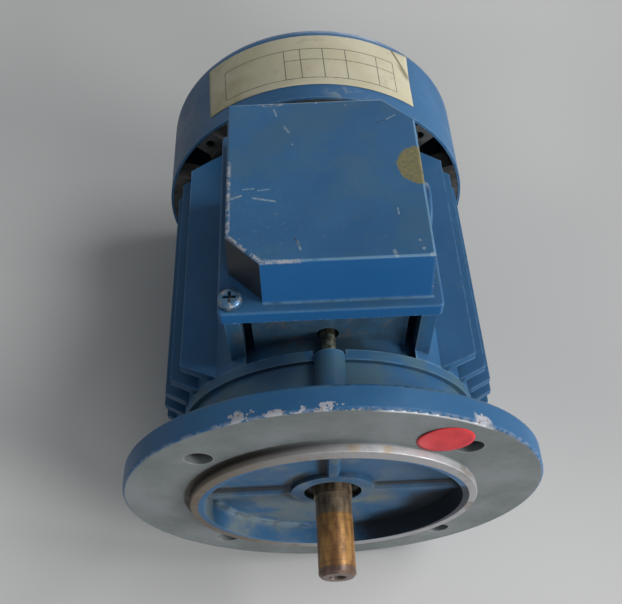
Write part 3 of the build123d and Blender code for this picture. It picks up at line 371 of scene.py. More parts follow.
# World, and lamps: place, size, power and colour
WORLD_LEVEL = 0.24
WORLD_COLOR = (0.90, 0.96, 1.0, 1)
BACKDROP = (0.60, 0.61, 0.62, 1)
LIT_POINT = (0.0, 0.06, 0.0)
LAMPS = {
    "key": ((2.10, -1.00, 0.50), 0.90, 55.0, (1.0, 0.98, 0.95)),
    "top": ((1.45, 0.10, 1.75), 1.00, 28.0, (1, 1, 1)),
    "front": ((0.77, -2.10, 1.10), 1.50, 16.0, (1, 1, 1)),
    "rear": ((0.55, 2.30, 0.25), 1.20, 15.0, (1, 1, 1)),
}


class Look:
    """One node material, with short calls for the nodes that it is built from."""

    def __init__(self, name, roughness=0.5, metallic=0.0, specular=0.5):
        self.material = bpy.data.materials.new(name)
        self.material.use_nodes = True
        self.tree = self.material.node_tree
        self.shader = self.tree.nodes["Principled BSDF"]
        self.shader.inputs["Roughness"].default_value = roughness
        self.shader.inputs["Metallic"].default_value = metallic
        self.shader.inputs["Specular IOR Level"].default_value = specular
        coordinate = self.tree.nodes.new("ShaderNodeTexCoord")
        self.uv = coordinate.outputs["UV"]
        self.place = self.vector_math("SCALE", coordinate.outputs["Object"], scale=1 / MM)
        self.x, self.y, self.z = self.split(self.place)

    def link(self, source, target):
        self.tree.links.new(source, target)

    def put(self, socket, value):
        """A number or colour is set on the socket, and a node's output is linked to it."""
        if isinstance(value, bpy.types.NodeSocket):
            self.link(value, socket)
        else:
            socket.default_value = value

    def split(self, vector):
        """The x, y and z of a vector."""
        node = self.tree.nodes.new("ShaderNodeSeparateXYZ")
        self.link(vector, node.inputs[0])
        return node.outputs

    def vector_math(self, operation, a, b=None, scale=None):
        node = self.tree.nodes.new("ShaderNodeVectorMath")
        node.operation = operation
        self.put(node.inputs[0], a)
        if b is not None:
            self.put(node.inputs[1], b)
        if scale is not None:
            self.put(node.inputs["Scale"], scale)
        return node.outputs["Value" if operation in ("DOT_PRODUCT", "LENGTH") else "Vector"]

    def math(self, operation, a, b=0.0, clamp=False):
        node = self.tree.nodes.new("ShaderNodeMath")
        node.operation = operation
        node.use_clamp = clamp
        self.put(node.inputs[0], a)
        self.put(node.inputs[1], b)
        return node.outputs[0]

    def times(self, *values):
        product = values[0]
        for value in values[1:]:
            product = self.math("MULTIPLY", product, value)
        return product

    def either(self, *values):
        most = values[0]
        for value in values[1:]:
            most = self.math("MAXIMUM", most, value)
        return most

    def no(self, value):
        return self.math("SUBTRACT", 1.0, value, clamp=True)

    def rise(self, value, start, end, low=0.0, high=1.0):
        """Smooth step from low to high while value goes from start to end."""
        node = self.tree.nodes.new("ShaderNodeMapRange")
        node.interpolation_type = "SMOOTHSTEP"
        self.put(node.inputs["Value"], value)
        node.inputs["From Min"].default_value = start
        node.inputs["From Max"].default_value = end
        node.inputs["To Min"].default_value = low
        node.inputs["To Max"].default_value = high
        return node.outputs["Result"]

    def fall(self, value, start, end, depth=1.0):
        """Smooth step down from 1, by depth, while value goes from start to end."""
        return self.no(self.rise(value, start, end, high=depth))

    def band(self, value, low, high, soft):
        """1 where value is between low and high, with soft borders."""
        up = self.rise(value, low - soft, low + soft)
        down = self.rise(value, high - soft, high + soft)
        return self.math("SUBTRACT", up, down, clamp=True)

    def noise(self, scale, detail=4.0, rough=0.55, stretch=None, shift=(0, 0, 0)):
        """Noise whose scale is in features per millimetre."""
        place = self.vector_math("ADD", self.place, shift)
        if stretch is not None:
            place = self.vector_math("MULTIPLY", place, stretch)
        node = self.tree.nodes.new("ShaderNodeTexNoise")
        self.link(place, node.inputs["Vector"])
        node.inputs["Scale"].default_value = scale
        node.inputs["Detail"].default_value = detail
        node.inputs["Roughness"].default_value = rough
        return node.outputs["Fac"]

    def patches(self, scale, start, end, low=0.0, high=1.0, **kind):
        """Patches of that scale, whose borders lie between two levels of the noise."""
        return self.rise(self.noise(scale, **kind), start, end, low=low, high=high)

    def mix_node(self, numbers, share, a, b):
        """Mix node whose two inputs and output have these numbers."""
        first, second, result = numbers
        node = self.tree.nodes.new("ShaderNodeMix")
        node.data_type = "RGBA" if numbers == MIX_COLORS else "FLOAT"
        self.put(node.inputs[0], share)
        self.put(node.inputs[first], a)
        self.put(node.inputs[second], b)
        return node.outputs[result]

    def mix(self, share, a, b):
        """Colour between a and b."""
        return self.mix_node(MIX_COLORS, share, a, b)

    def blend(self, share, a, b):
        """Number between a and b."""
        return self.mix_node(MIX_NUMBERS, share, a, b)

    def over(self, color, other, *shares):
        """The other colour laid over a colour, by the product of the shares."""
        return self.mix(self.times(*shares), color, other)

    def radius(self):
        """Distance from the shaft axis."""
        flat = self.vector_math("MULTIPLY", self.place, (1, 0, 1))
        return self.vector_math("LENGTH", flat)

    def facing(self, direction):
        """How squarely the surface faces a direction of the frame."""
        geometry = self.tree.nodes.new("ShaderNodeNewGeometry")
        return self.vector_math("DOT_PRODUCT", geometry.outputs["True Normal"], direction)

    def shelter(self, width, inside):
        """How much lies close to the surface, outside the solid or inside it."""
        node = self.tree.nodes.new("ShaderNodeAmbientOcclusion")
        node.inside = inside
        node.samples = OCCLUSION_SAMPLES
        node.inputs["Distance"].default_value = width * MM
        return self.no(node.outputs["AO"])

    def edges(self, width):
        """1 at outward edges, where other faces lie close behind the surface."""
        return self.shelter(width, inside=True)

    def corners(self, width):
        """1 in inward corners. The colours laid over it darken the corners as painted shade, in
        places together with dirt.
        """
        return self.shelter(width, inside=False)

    def spot(self, centre, reach, soft=0.5):
        """1 inside an ellipsoid round a place, in millimetres."""
        offset = self.vector_math("SUBTRACT", self.place, centre)
        scaled = self.vector_math("DIVIDE", offset, reach)
        return self.fall(self.vector_math("LENGTH", scaled), 1 - soft, 1)

    def stroke(self, start, end, width):
        """1 along a short straight mark between two places, in millimetres."""
        line = Vector(end) - Vector(start)
        offset = self.vector_math("SUBTRACT", self.place, start)
        share = self.vector_math("DOT_PRODUCT", offset, tuple(line / line.length_squared))
        share = self.math("ADD", share, 0.0, clamp=True)
        nearest = self.vector_math("SCALE", tuple(line), scale=share)
        gap = self.vector_math("LENGTH", self.vector_math("SUBTRACT", offset, nearest))
        return self.fall(gap, STROKE_CORE * width, STROKE_HAZE * width)

    def bump(self, height, strength=0.2, distance=0.1):
        node = self.tree.nodes.new("ShaderNodeBump")
        node.inputs["Strength"].default_value = strength
        node.inputs["Distance"].default_value = distance * MM
        self.put(node.inputs["Height"], height)
        self.link(node.outputs["Normal"], self.shader.inputs["Normal"])

    def color(self, value):
        self.put(self.shader.inputs["Base Color"], value)

    def rough(self, value):
        self.put(self.shader.inputs["Roughness"], value)

    def metal(self, value):
        self.put(self.shader.inputs["Metallic"], value)


def paint_look(name):
    """Semi-gloss paint that doesn't mirror much."""
    return Look(name, specular=0.20)


def painted(look, wear, grime_and_shade=0.7, grime_and_shade_reach=7.0):
    """Old blue paint: slightly cloudy colour, grime and painted shade in the corners, rubbed paint
    with a painted highlight along the edges, chips along the edges.
    """
    color = look.mix(look.patches(0.025, 0.30, 0.70, detail=3), BLUE_DARK, BLUE_LIGHT)
    color = look.mix(0.6, color, BLUE)
    color = look.mix(look.patches(0.30, 0.50, 0.80, high=0.12, detail=5, rough=0.6), color, DUST)
    # Lighter blue along outward edges: partly rubbed paint, partly a painted highlight
    edge = look.edges(0.9)
    rubbed = look.times(look.rise(edge, 0.10, 0.45), look.patches(0.25, 0.30, 0.55))
    color = look.over(color, BLUE_EDGE_WEAR_AND_HIGHLIGHT, rubbed, 0.55)
    # Grime and painted shade in inward corners, broken up by noise
    gathered_grime_and_shade = look.times(look.corners(grime_and_shade_reach), look.patches(0.12, 0.25, 0.60))
    color = look.over(color, GRIME_AND_SHADE, gathered_grime_and_shade, grime_and_shade)
    start = 0.68 - 0.14 * wear
    chips = look.times(edge, look.patches(0.9, start, start + 0.05, detail=6, rough=0.7))
    return color, look.rise(chips, 0.10, 0.30)


def finish_paint(look, color, chips, extra_rough=0.0):
    """Joins the paint with the bare spots under its chips."""
    patchy = look.patches(0.7, 0.28, 0.48, shift=(7, 7, 7))
    color = look.mix(chips, color, look.mix(patchy, PRIMER_BROWN, PRIMER))
    gloss = look.patches(0.06, 0.3, 0.7, low=0.36 + extra_rough, high=0.50 + extra_rough)
    rough = look.blend(chips, gloss, 0.6)
    grain = look.noise(1.1, detail=3)
    orange_peel = look.noise(0.45, detail=2)
    height = look.math("ADD", look.times(grain, 0.35), look.times(orange_peel, 0.65))
    look.bump(look.math("SUBTRACT", height, look.times(chips, 1.4)), strength=0.25, distance=0.12)
    look.color(color)
    look.rough(rough)
    return color, rough


def frame_paint():
    """Finned frame, dirty below the front of the terminal box."""
    look = paint_look("frame_paint")
    color, chips = painted(look, wear=0.3)
    below_box = look.times(
        look.band(look.y, *BOX_DIRT_Y, 2.0),
        look.fall(look.math("ABSOLUTE", look.x), *BOX_DIRT_SIDES),
        look.rise(look.z, *BOX_DIRT_FOOT_Z),
        look.fall(look.z, *BOX_DIRT_TOP_Z),
    )
    blotch = look.patches(0.10, 0.38, 0.60, detail=5, rough=0.65)
    rust = look.patches(0.16, 0.55, 0.66, shift=(20, 5, 1))
    color = look.over(color, TEAL_DIRT, below_box, 0.35)
    color = look.over(color, GRIME_AND_SHADE, below_box, blotch, 0.40)
    color = look.over(color, BROWN_STAIN, below_box, rust, 0.35)
    finish_paint(look, color, chips)
    return look.material


def rim_chips(look, radius):
    """Where the paint has chipped off the upper front edge of the flange."""
    ragged = look.patches(
        0.17, 0.38, 0.66, low=CHIP_RAGGED, high=-CHIP_RAGGED, detail=6, rough=0.62, shift=(3, 0, 0)
    )
    depth = look.math("ADD", look.y, ragged)
    left = look.times(look.rise(look.x, *CHIPPED_LEFT_X), look.fall(look.x, *CHIPPED_MIDDLE_X))
    right = look.band(look.x, *CHIPPED_RIGHT_X, 1.0)
    patch = look.times(
        look.rise(radius, *CHIP_STRIP_R),
        look.fall(depth, *CHIP_DEPTH_Y),
        look.rise(look.z, *CHIPPED_Z),
        look.either(left, right),
    )
    thin = look.times(
        look.rise(radius, *THIN_CHIPS_R),
        look.fall(look.y, *THIN_CHIPS_Y),
        look.patches(0.4, 0.44, 0.58, detail=5),
        0.30,
    )
    return look.either(patch, thin)


def dish_dust_and_shading(look, color, dish, radius):
    """Dust and grime in the dish, with painted shade over it and in its corners, painted shadows
    beside its hub and ribs, and dust with a painted highlight at its wall.
    """
    # Painted shade over the whole dish, which lies in a recess
    color = look.over(color, DISH_SHADE, dish, 0.30)
    # Painted shade in the inward corners of the dish, broken up by noise
    smeared = look.patches(0.12, 0.3, 0.55, rough=0.6, shift=(2, 8, 6))
    color = look.over(color, GRIME_AND_SHADE, dish, look.rise(look.corners(4.0), 0.15, 0.55), smeared, 0.75)
    smear = look.patches(0.06, 0.42, 0.66, detail=5, rough=0.62, shift=(9, 2, 4))
    color = look.over(color, DUST, dish, smear, look.fall(look.x, *DUSTY_X, depth=0.7), 0.75)
    color = look.over(color, OCHRE, dish, look.spot(*YELLOW_SPOT, soft=0.9), 0.35)
    # Painted shadows: a dark band on the hub's left and dark strokes beside the ribs
    hub_ring = look.times(look.band(radius, *HUB_SHADOW_R, 1.4), look.rise(look.x, *HUB_SHADOW_X))
    beside_ribs = [
        look.stroke((x0, DISH_FLOOR_Y, z0), (x1, DISH_FLOOR_Y, z1), width)
        for (x0, z0), (x1, z1), width in RIB_SHADOWS
    ]
    rib_shadow_lines = look.times(look.either(*beside_ribs), look.rise(look.y, *RIB_SHADOW_Y))
    color = look.over(color, GRIME_AND_SHADE, dish, look.either(hub_ring, rib_shadow_lines), 0.85)
    # Pale band at the lower left where floor meets wall: dust and a painted highlight
    lower_left = look.times(look.fall(look.x, *FILLET_DUST_SHEEN_X), look.fall(look.z, *FILLET_DUST_SHEEN_Z))
    at_wall = look.times(look.band(radius, *FILLET_DUST_SHEEN_R, 1.2), look.rise(look.y, *FILLET_DUST_SHEEN_Y))
    broken = look.patches(0.16, 0.36, 0.56, detail=5, rough=0.6)
    return look.over(color, PALE_DUST_AND_SHEEN, dish, at_wall, lower_left, broken, 0.8)


def lower_right_shadow(look, color, dish, radius):
    """Painted shadow at the lower right of the dish, on its floor and on its wall."""
    wander = look.times(look.math("SUBTRACT", look.noise(0.05), 0.5), SHADOW_WANDER)
    reach = look.math("ADD", look.vector_math("DOT_PRODUCT", look.place, SHADOW_SIDE), wander)
    floor = look.times(dish, look.rise(reach, *SHADOW_FLOOR_REACH))
    wall = look.times(
        look.band(radius, *DISH_WALL_R, 0.1),
        look.fall(look.y, *DISH_WALL_Y),
        look.rise(look.x, *SHADOW_WALL_X),
        look.rise(reach, *SHADOW_WALL_REACH),
    )
    return look.over(color, DISH_SHADOW, look.either(floor, wall), 0.92)


def dish_dirt_and_shadow(look, color, radius):
    """Dust, grime, painted shade and a painted shadow on the painted dish of the flange."""
    dish = look.times(look.fall(radius, *DISH_EDGE_R), look.fall(look.y, *DISH_END_Y))
    color = dish_dust_and_shading(look, color, dish, radius)
    color = lower_right_shadow(look, color, dish, radius)
    # Painted shade deep in the seal's recess round the shaft
    seat = look.times(look.fall(radius, *SEAL_SEAT_R), look.rise(look.y, *SEAL_SEAT_Y))
    return look.over(color, SEAL_SEAT_SHADE, seat, 0.95)


def machined_face(look, radius):
    """Bare turned metal of the flange face and of its raised ring, with painted shade, a painted
    shadow and painted highlights.
    """
    metal = look.mix(look.patches(0.035, 0.35, 0.68), FACE_METAL_DARK, FACE_METAL)
    speckle = look.patches(0.5, 0.60, 0.72, detail=6, rough=0.7)
    metal = look.over(metal, FACE_SPECKLE, speckle, 0.18)
    pits = look.patches(0.6, 0.68, 0.76, detail=5, rough=0.7, shift=(40, 0, 7))
    metal = look.over(metal, FACE_PIT, pits, 0.35)
    # The raised ring darkens to brown towards the left as painted shade, the light being from the
    # right
    ring = look.mix(look.rise(look.x, *RING_SHADED_X), RING_SHADED_BROWN, RING_METAL)
    rust = look.patches(0.10, 0.50, 0.70, high=0.55, shift=(0, 5, 0))
    ring = look.over(ring, BROWN_STAIN, rust)
    spots = look.either(*[look.spot(*spot, soft=0.7) for spot in RING_SPOTS])
    ring = look.over(ring, RING_SPOT, spots, 0.45)
    metal = look.over(metal, ring, look.fall(look.y, *RING_FACE_Y))
    # Painted shadow that the raised ring casts on the face at its left
    foot = look.times(look.band(radius, *RING_SHADOW_R, 0.7), look.rise(look.y, *RING_SHADOW_Y))
    metal = look.over(metal, RING_SHADOW, foot, look.fall(look.x, *RING_SHADOW_X), 0.95)
    # Painted highlight along the edges of the bare metal
    metal = look.over(metal, METAL_EDGE_HIGHLIGHT, look.rise(look.edges(0.8), 0.20, 0.55), 0.5)
    # Painted highlight along the upper right of the flange's rim
    rim_line = look.times(look.band(radius, *RIM_HIGHLIGHT_R, 0.3), look.rise(look.z, *RIM_HIGHLIGHT_Z))
    return look.over(metal, RIM_HIGHLIGHT, rim_line, look.band(look.x, *RIM_HIGHLIGHT_X, 4.0), 0.8)


def flange_holes(look):
    """1 on the walls of the four holes of the flange."""
    across, along = [
        look.math("SUBTRACT", look.math("ABSOLUTE", place), FLANGE_HOLE_SPOT)
        for place in (look.x, look.z)
    ]
    squares = look.math("ADD", look.times(across, across), look.times(along, along))
    wall = look.fall(look.math("SQRT", squares), FLANGE_HOLE_R + 0.1, FLANGE_HOLE_R + 0.25)
    return look.times(wall, look.fall(look.y, FLANGE_BACK_Y, FLANGE_BACK_Y + 0.4))


def flange_face(look, radius):
    """1 on the bare front face of the flange, from the ring's inner edge to the rim.

    The paint of the dish reaches further over the ring at its left and right.
    """
    front = look.times(look.rise(look.facing(FORWARD), 0.55, 0.72), look.fall(radius, *FACE_EDGE_R))
    sideways = look.times(look.x, look.x, RING_PAINT_SHARE)
    from_paint = look.math("SUBTRACT", radius, look.math("ADD", sideways, SPIGOT_INNER_R))
    return look.times(front, look.rise(from_paint, 0.0, 0.3), look.fall(look.y, *FACE_EDGE_Y))


def shield_paint():
    """Painted front shield with its machined face, bare ring and stained dish, with painted shade,
    shadows and highlights on them.
    """
    look = paint_look("shield_paint")
    color, chips = painted(look, wear=0.3, grime_and_shade=0.35, grime_and_shade_reach=4.0)
    radius = look.radius()
    chips = look.either(chips, rim_chips(look, radius))
    color = dish_dirt_and_shadow(look, color, radius)
    neck = look.band(look.y, *NECK_Y, 1.0)
    color = look.over(color, TEAL_DIRT, neck, look.patches(0.07, 0.38, 0.62, detail=5), 0.55)
    color = look.over(color, GRIME_AND_SHADE, neck, look.spot(*NECK_GRIME, soft=0.9), 0.55)
    color, rough = finish_paint(look, color, chips)

    side = look.band(radius, SPIGOT_OUTER_R - 1, SPIGOT_OUTER_R + 0.3, 0.2)
    spigot_side = look.times(side, look.fall(look.y, *SPIGOT_SIDE_Y))
    drilled = flange_holes(look)
    bare = look.either(flange_face(look, radius), spigot_side, drilled)
    # Painted shade deep in the flange's holes
    deep = look.times(drilled, look.rise(look.y, *HOLE_DEPTH_Y, high=0.92))
    metal = look.over(machined_face(look, radius), HOLE_SHADE, deep)
    look.color(look.mix(bare, color, metal))
    look.rough(look.blend(bare, rough, look.patches(0.2, 0.3, 0.7, low=0.42, high=0.60)))
    look.metal(look.times(bare, 0.55))
    return look.material


def cover_marks(look):
    """Worn lines that also carry painted highlights, pale and dark scratches and chipped stretches
    that can be told apart.
    """

    def strokes(marks, spread=1.0):
        return [
            look.stroke((*start, COVER_TOP_Z), (*end, COVER_TOP_Z), spread * width)
            for start, end, width in marks
        ]

    sides = [look.stroke(*mark) for mark in WORN_SIDES_AND_HIGHLIGHTS]
    uneven = look.patches(0.2, 0.25, 0.50, low=0.3, detail=3)
    lines = look.times(look.either(*strokes(WORN_EDGES_AND_HIGHLIGHTS), *sides), uneven)
    dots = [look.spot((x, y, COVER_TOP_Z), (r, r, 1.0), soft=0.4) for x, y, r in PALE_DOTS]
    broken = look.patches(1.1, 0.36, 0.60, low=0.30, detail=5, rough=0.75)
    pale = look.times(look.either(*strokes(PALE_SCRATCHES, PALE_SPREAD), *dots), broken)
    dark = look.times(look.either(*strokes(DARK_SCRATCHES)), broken)
    patchy = look.patches(0.50, 0.46, 0.54, detail=6, rough=0.78)
    return lines, pale, dark, look.times(look.either(*strokes(CHIPPED_EDGES)), patchy)


def cover_paint():
    """Terminal cover: scratched top, worn edges with painted highlights, painted shade on the cut
    corner, a bluer front, and one place where the paint has turned.
    """
    look = paint_look("cover_paint")
    color, chips = painted(look, wear=0.75, grime_and_shade=0.4)
    lines, pale, dark, worn = cover_marks(look)
    # Worn edge lines: partly rubbed paint, partly a painted highlight
    color = look.over(color, BLUE_EDGE_WEAR_AND_HIGHLIGHT, lines, 0.85)
    color = look.over(color, PALE_SCRATCH, pale, 0.75)
    color = look.over(color, GRIME_AND_SHADE, dark, 0.75)
    top = look.rise(look.facing(UP), 0.6, 0.9)
    specks = look.patches(0.75, 0.57, 0.64, detail=6, rough=0.75, shift=(11, 3, 0))
    few = look.patches(0.10, 0.50, 0.62, high=0.5, detail=3, shift=(0, 4, 0))
    speckled = look.either(look.spot(*SPECKED_CORNER, soft=0.9), few)
    color = look.over(color, PALE_SPECK, top, specks, speckled, 0.55)
    faded = look.patches(0.045, 0.42, 0.66, detail=5, rough=0.6, shift=(6, 0, 2))
    color = look.over(color, TEAL_FADE, top, faded, 0.40)

    ragged = look.times(look.noise(0.22, detail=5, rough=0.6, shift=(1, 1, 1)), 1.7)
    ragged = look.math("ADD", ragged, 0.15)
    patch = look.rise(look.times(look.spot(*TURNED_PATCH, soft=0.9), ragged), 0.20, 0.26)
    turned = look.mix(look.patches(0.8, 0.35, 0.65), OCHRE_DARK, OCHRE)
    color = look.over(color, turned, patch, 0.9)

    cut_corner = look.times(
        look.rise(look.facing(LEFT_FORWARD), 0.90, 0.97),
        look.rise(look.z, *CUT_CORNER_FOOT_Z),
        look.fall(look.z, *CUT_CORNER_TOP_Z),
    )
    color = look.over(color, CORNER_SHADE, cut_corner, 0.92)
    # Bluer on the faces that point forward
    color = look.over(color, BLUE_FORWARD, look.rise(look.facing(FORWARD), 0.85, 0.97), 0.75)
    finish_paint(look, color, look.either(chips, worn), extra_rough=0.03)
    return look.material


def cowl_paint():
    """Fan cowl: dusty at its rear edge, with painted shade on its left side, and smeared above its
    front edge.
    """
    look = paint_look("cowl_paint")
    color, chips = painted(look, wear=0.35)
    rear = look.rise(look.y, *COWL_DUST_Y)
    color = look.over(color, COWL_DUST, rear, look.patches(0.10, 0.35, 0.65), 0.5)
    # Painted shade on the left-facing side, away from the light
    color = look.over(color, GRIME_AND_SHADE, look.rise(look.facing(LEFT), 0.45, 0.95), 0.40)
    smear = look.patches(0.14, 0.42, 0.56, detail=6, rough=0.65)
    color = look.over(color, COWL_PALE_SMEAR, look.spot(*COWL_SMEAR, soft=0.6), smear, 0.6)
    finish_paint(look, color, chips)
    return look.material


def plug_paint():
    """Plug of the second cable entry, painted over with the frame."""
    look = paint_look("plug_paint")
    finish_paint(look, *painted(look, wear=0.4))
    return look.material


def screw_paint():
    """Steel screws of the cover, with blue paint left on the rims of their heads and painted shade
    in their recesses.
    """
    look = Look("painted_screws", metallic=0.5)
    fine = look.noise(0.9, rough=0.6)
    steel = look.mix(look.rise(fine, 0.35, 0.65), SCREW_STEEL_DARK, SCREW_STEEL)
    color = look.over(steel, SCREW_BLUE, look.patches(0.5, 0.36, 0.50, shift=(5, 0, 0)))
    # Painted shade in the recesses of the heads
    look.color(look.over(color, SHADE_BLACK, look.corners(1.5), 0.8))
    look.rough(look.rise(fine, 0.3, 0.7, low=0.28, high=0.45))
    look.bump(fine, strength=0.15, distance=0.05)
    return look.material


def bare_casting():
    """Dull bare aluminium casting, with painted shade in its corners."""
    look = Look("bare_casting", metallic=0.45)
    color = look.mix(look.patches(0.12, 0.35, 0.65, detail=5), GRIME_AND_SHADE, CASTING)
    # Painted shade in inward corners
    look.color(look.over(color, CASTING_CORNER_SHADE, look.corners(6.0), 0.85))
    look.rough(look.patches(0.4, 0.3, 0.7, low=0.50, high=0.72))
    look.bump(look.noise(1.2), strength=0.35, distance=0.15)
    return look.material


def shaft_metal():
    """Shaft end: worn ground stretch at the hub, orange-brown varnish, then a dark tip."""
    look = Look("shaft_metal", metallic=0.45)
    radius = look.radius()
    along = look.math("ADD", look.y, look.times(look.noise(0.25), 2.0))
    streak = look.noise(0.35, stretch=(1, 0.25, 1))
    steel = look.mix(look.rise(streak, 0.35, 0.65), DARK_STEEL, PALE_STEEL)
    steel = look.mix(look.patches(0.2, 0.40, 0.60, high=0.6, detail=3), steel, BROWN_STAIN)
    varnish = look.mix(look.rise(streak, 0.34, 0.66), VARNISH_DARK, VARNISH)
    color = look.over(steel, varnish, look.band(along, *VARNISH_Y, 0.8), 0.94)
    color = look.over(color, TIP_BROWN, look.fall(along, *TIP_Y), 0.7)
    rings = look.patches(2.0, 0.52, 0.72, detail=2, stretch=(0.05, 1, 0.05))
    color = look.over(color, GRIME_AND_SHADE, rings, 0.35)
    end_face = look.rise(look.facing(FORWARD), 0.7, 0.9)
    color = look.over(color, TIP_RING, end_face, look.band(radius, *TIP_RING_R, 0.4), 0.55)
    # Painted shade in the centre hole of the shaft's end
    hole = look.times(look.fall(radius, *CENTRE_HOLE_R), look.fall(look.y, *CENTRE_HOLE_Y))
    look.color(look.over(color, SHADE_BLACK, hole, 0.85))
    look.rough(look.patches(0.5, 0.3, 0.7, low=0.30, high=0.48))
    look.bump(look.noise(1.6, detail=3, stretch=(0.2, 1, 0.2)), strength=0.2, distance=0.05)
    return look.material


def plated(name, dark, light, rough):
    """Small metal parts with a slightly uneven surface and painted shade in their corners."""
    look = Look(name, metallic=0.85)
    color = look.mix(look.patches(0.5, 0.35, 0.65), dark, light)
    # Painted shade in inward corners
    look.color(look.over(color, GRIME_AND_SHADE, look.corners(1.5), 0.6))
    look.rough(look.patches(0.5, 0.3, 0.7, low=rough[0], high=rough[1]))
    look.bump(look.noise(1.0, detail=3), strength=0.15, distance=0.05)
    return look.material


def moulded(name, dark, light):
    """Plastic or rubber with a fine moulded grain."""
    look = Look(name)
    look.color(look.mix(look.patches(0.2, 0.35, 0.65), dark, light))
    look.rough(look.patches(0.4, 0.3, 0.7, low=0.45, high=0.60))
    look.bump(look.noise(2.5, detail=2), strength=0.2, distance=0.05)
    return look.material


def sheet_steel():
    """Edges of the stacked sheets of the cores."""
    look = Look("core_sheets", metallic=0.7)
    layers = look.noise(1.0, detail=1, stretch=(0.02, 1.8, 0.02))
    look.color(look.mix(look.rise(layers, 0.4, 0.6), SHEET_GAP, SHEET_EDGE))
    look.rough(look.rise(layers, 0.4, 0.6, low=0.4, high=0.6))
    look.bump(layers, strength=0.3, distance=0.1)
    return look.material


def label_lines(look, u, v):
    """Lines of the label's empty table, from shares of the label's length and width."""
    width = TABLE_RIGHT - TABLE_LEFT
    places = [TABLE_LEFT, TABLE_RIGHT] + [TABLE_LEFT + share * width for share in TABLE_COLUMNS]
    upright = [look.band(u, place - LINE_HALF_U, place + LINE_HALF_U, 0.001) for place in places]
    lower, upper, row = [
        look.band(v, place - LINE_HALF_V, place + LINE_HALF_V, 0.003)
        for place in (TABLE_LOW, TABLE_HIGH, TABLE_ROW)
    ]
    row = look.times(row, look.rise(u, places[2] - 0.002, places[2]))
    in_table_u = look.band(u, TABLE_LEFT, TABLE_RIGHT, LINE_HALF_U)
    in_table_v = look.band(v, TABLE_LOW, TABLE_HIGH, LINE_HALF_V)
    return look.either(
        look.times(look.either(*upright), in_table_v),
        look.times(look.either(lower, upper, row), in_table_u),
    )


def label_print():
    """Cream label with an empty printed table, yellowed and dirty, with painted shade along its
    fold.
    """
    look = Look("label_print", roughness=0.5, specular=0.12)
    u, v, _ = look.split(look.uv)
    stain = look.noise(0.05, detail=5, shift=(4, 0, 9))
    side = look.rise(u, 0.0, 0.35, low=0.75, high=0.25)
    color = look.over(LABEL_CREAM, LABEL_STAIN, look.rise(stain, 0.35, 0.65), side)
    faded = look.patches(0.5, 0.30, 0.50, low=0.45, high=0.85)
    color = look.over(color, LABEL_INK, label_lines(look, u, v), faded)
    smudge = look.patches(0.10, 0.56, 0.74, detail=6, rough=0.65)
    color = look.over(color, GRIME_AND_SHADE, smudge, 0.22)
    specks = look.patches(0.9, 0.70, 0.74, detail=3, rough=0.6, shift=(2, 9, 5))
    color = look.over(color, BROWN_STAIN, specks, 0.5)
    # Painted shade along the fold of the lifted corner and beside it
    crease = look.math("ADD", look.math("MULTIPLY", u, CORNER_SLANT), v)
    fold = look.times(look.band(crease, 6.00, 6.08, 0.03), look.rise(v, 0.50, 0.62))
    below = look.times(look.band(crease, 5.90, 6.08, 0.06), look.band(v, 0.52, 0.74, 0.06), 0.7)
    look.color(look.over(color, LABEL_CREASE_SHADE, look.either(fold, below), 0.8))
    look.rough(look.rise(stain, 0.3, 0.7, low=0.50, high=0.66))
    look.bump(look.noise(0.25, detail=3), strength=0.25, distance=0.15)
    return look.material


def sticker_print():
    """Plain red paper sticker, a little rubbed."""
    look = Look("sticker_print", specular=0.15)
    cloud = look.noise(0.12, detail=5)
    color = look.mix(look.rise(cloud, 0.40, 0.65), STICKER_RED, STICKER_DARK)
    rub = look.patches(0.8, 0.66, 0.74, detail=5, rough=0.7)
    look.color(look.over(color, STICKER_RUBBED, rub, 0.3))
    look.rough(look.rise(cloud, 0.3, 0.7, low=0.36, high=0.50))
    look.bump(look.noise(0.3, detail=3), strength=0.2, distance=0.08)
    return look.material


def link_object(name, mesh, material, body):
    """A mesh made here becomes a piece that rides on a body."""
    piece = bpy.data.objects.new(name, mesh)
    bpy.context.scene.collection.objects.link(piece)
    mesh.materials.append(material)
    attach(piece, body)
    return piece


def mesh_from(bm, name):
    """Smooth-shaded mesh."""
    mesh = bpy.data.meshes.new(name)
    bm.to_mesh(mesh)
    bm.free()
    for polygon in mesh.polygons:
        polygon.use_smooth = True
    return mesh


def label_point(thick, u, v):
    """Place on the label's upper or under side, u round the cowl and v along it."""
    start, end = [a + (b - a) * v for a, b in zip(LABEL_FRONT_ANGLES, LABEL_REAR_ANGLES)]
    angle = math.radians(start + (end - start) * u)
    y = label_lo.y + (label_hi.y - LABEL_SHORTER - label_lo.y) * v
    corner = max(0.0, (CORNER_SLANT * u + v - CORNER_START) / CORNER_SPAN)
    r = COWL_R + LABEL_GAP + thick + CORNER_LIFT * corner**CORNER_CURL
    return r * math.sin(angle), y, r * math.cos(angle)


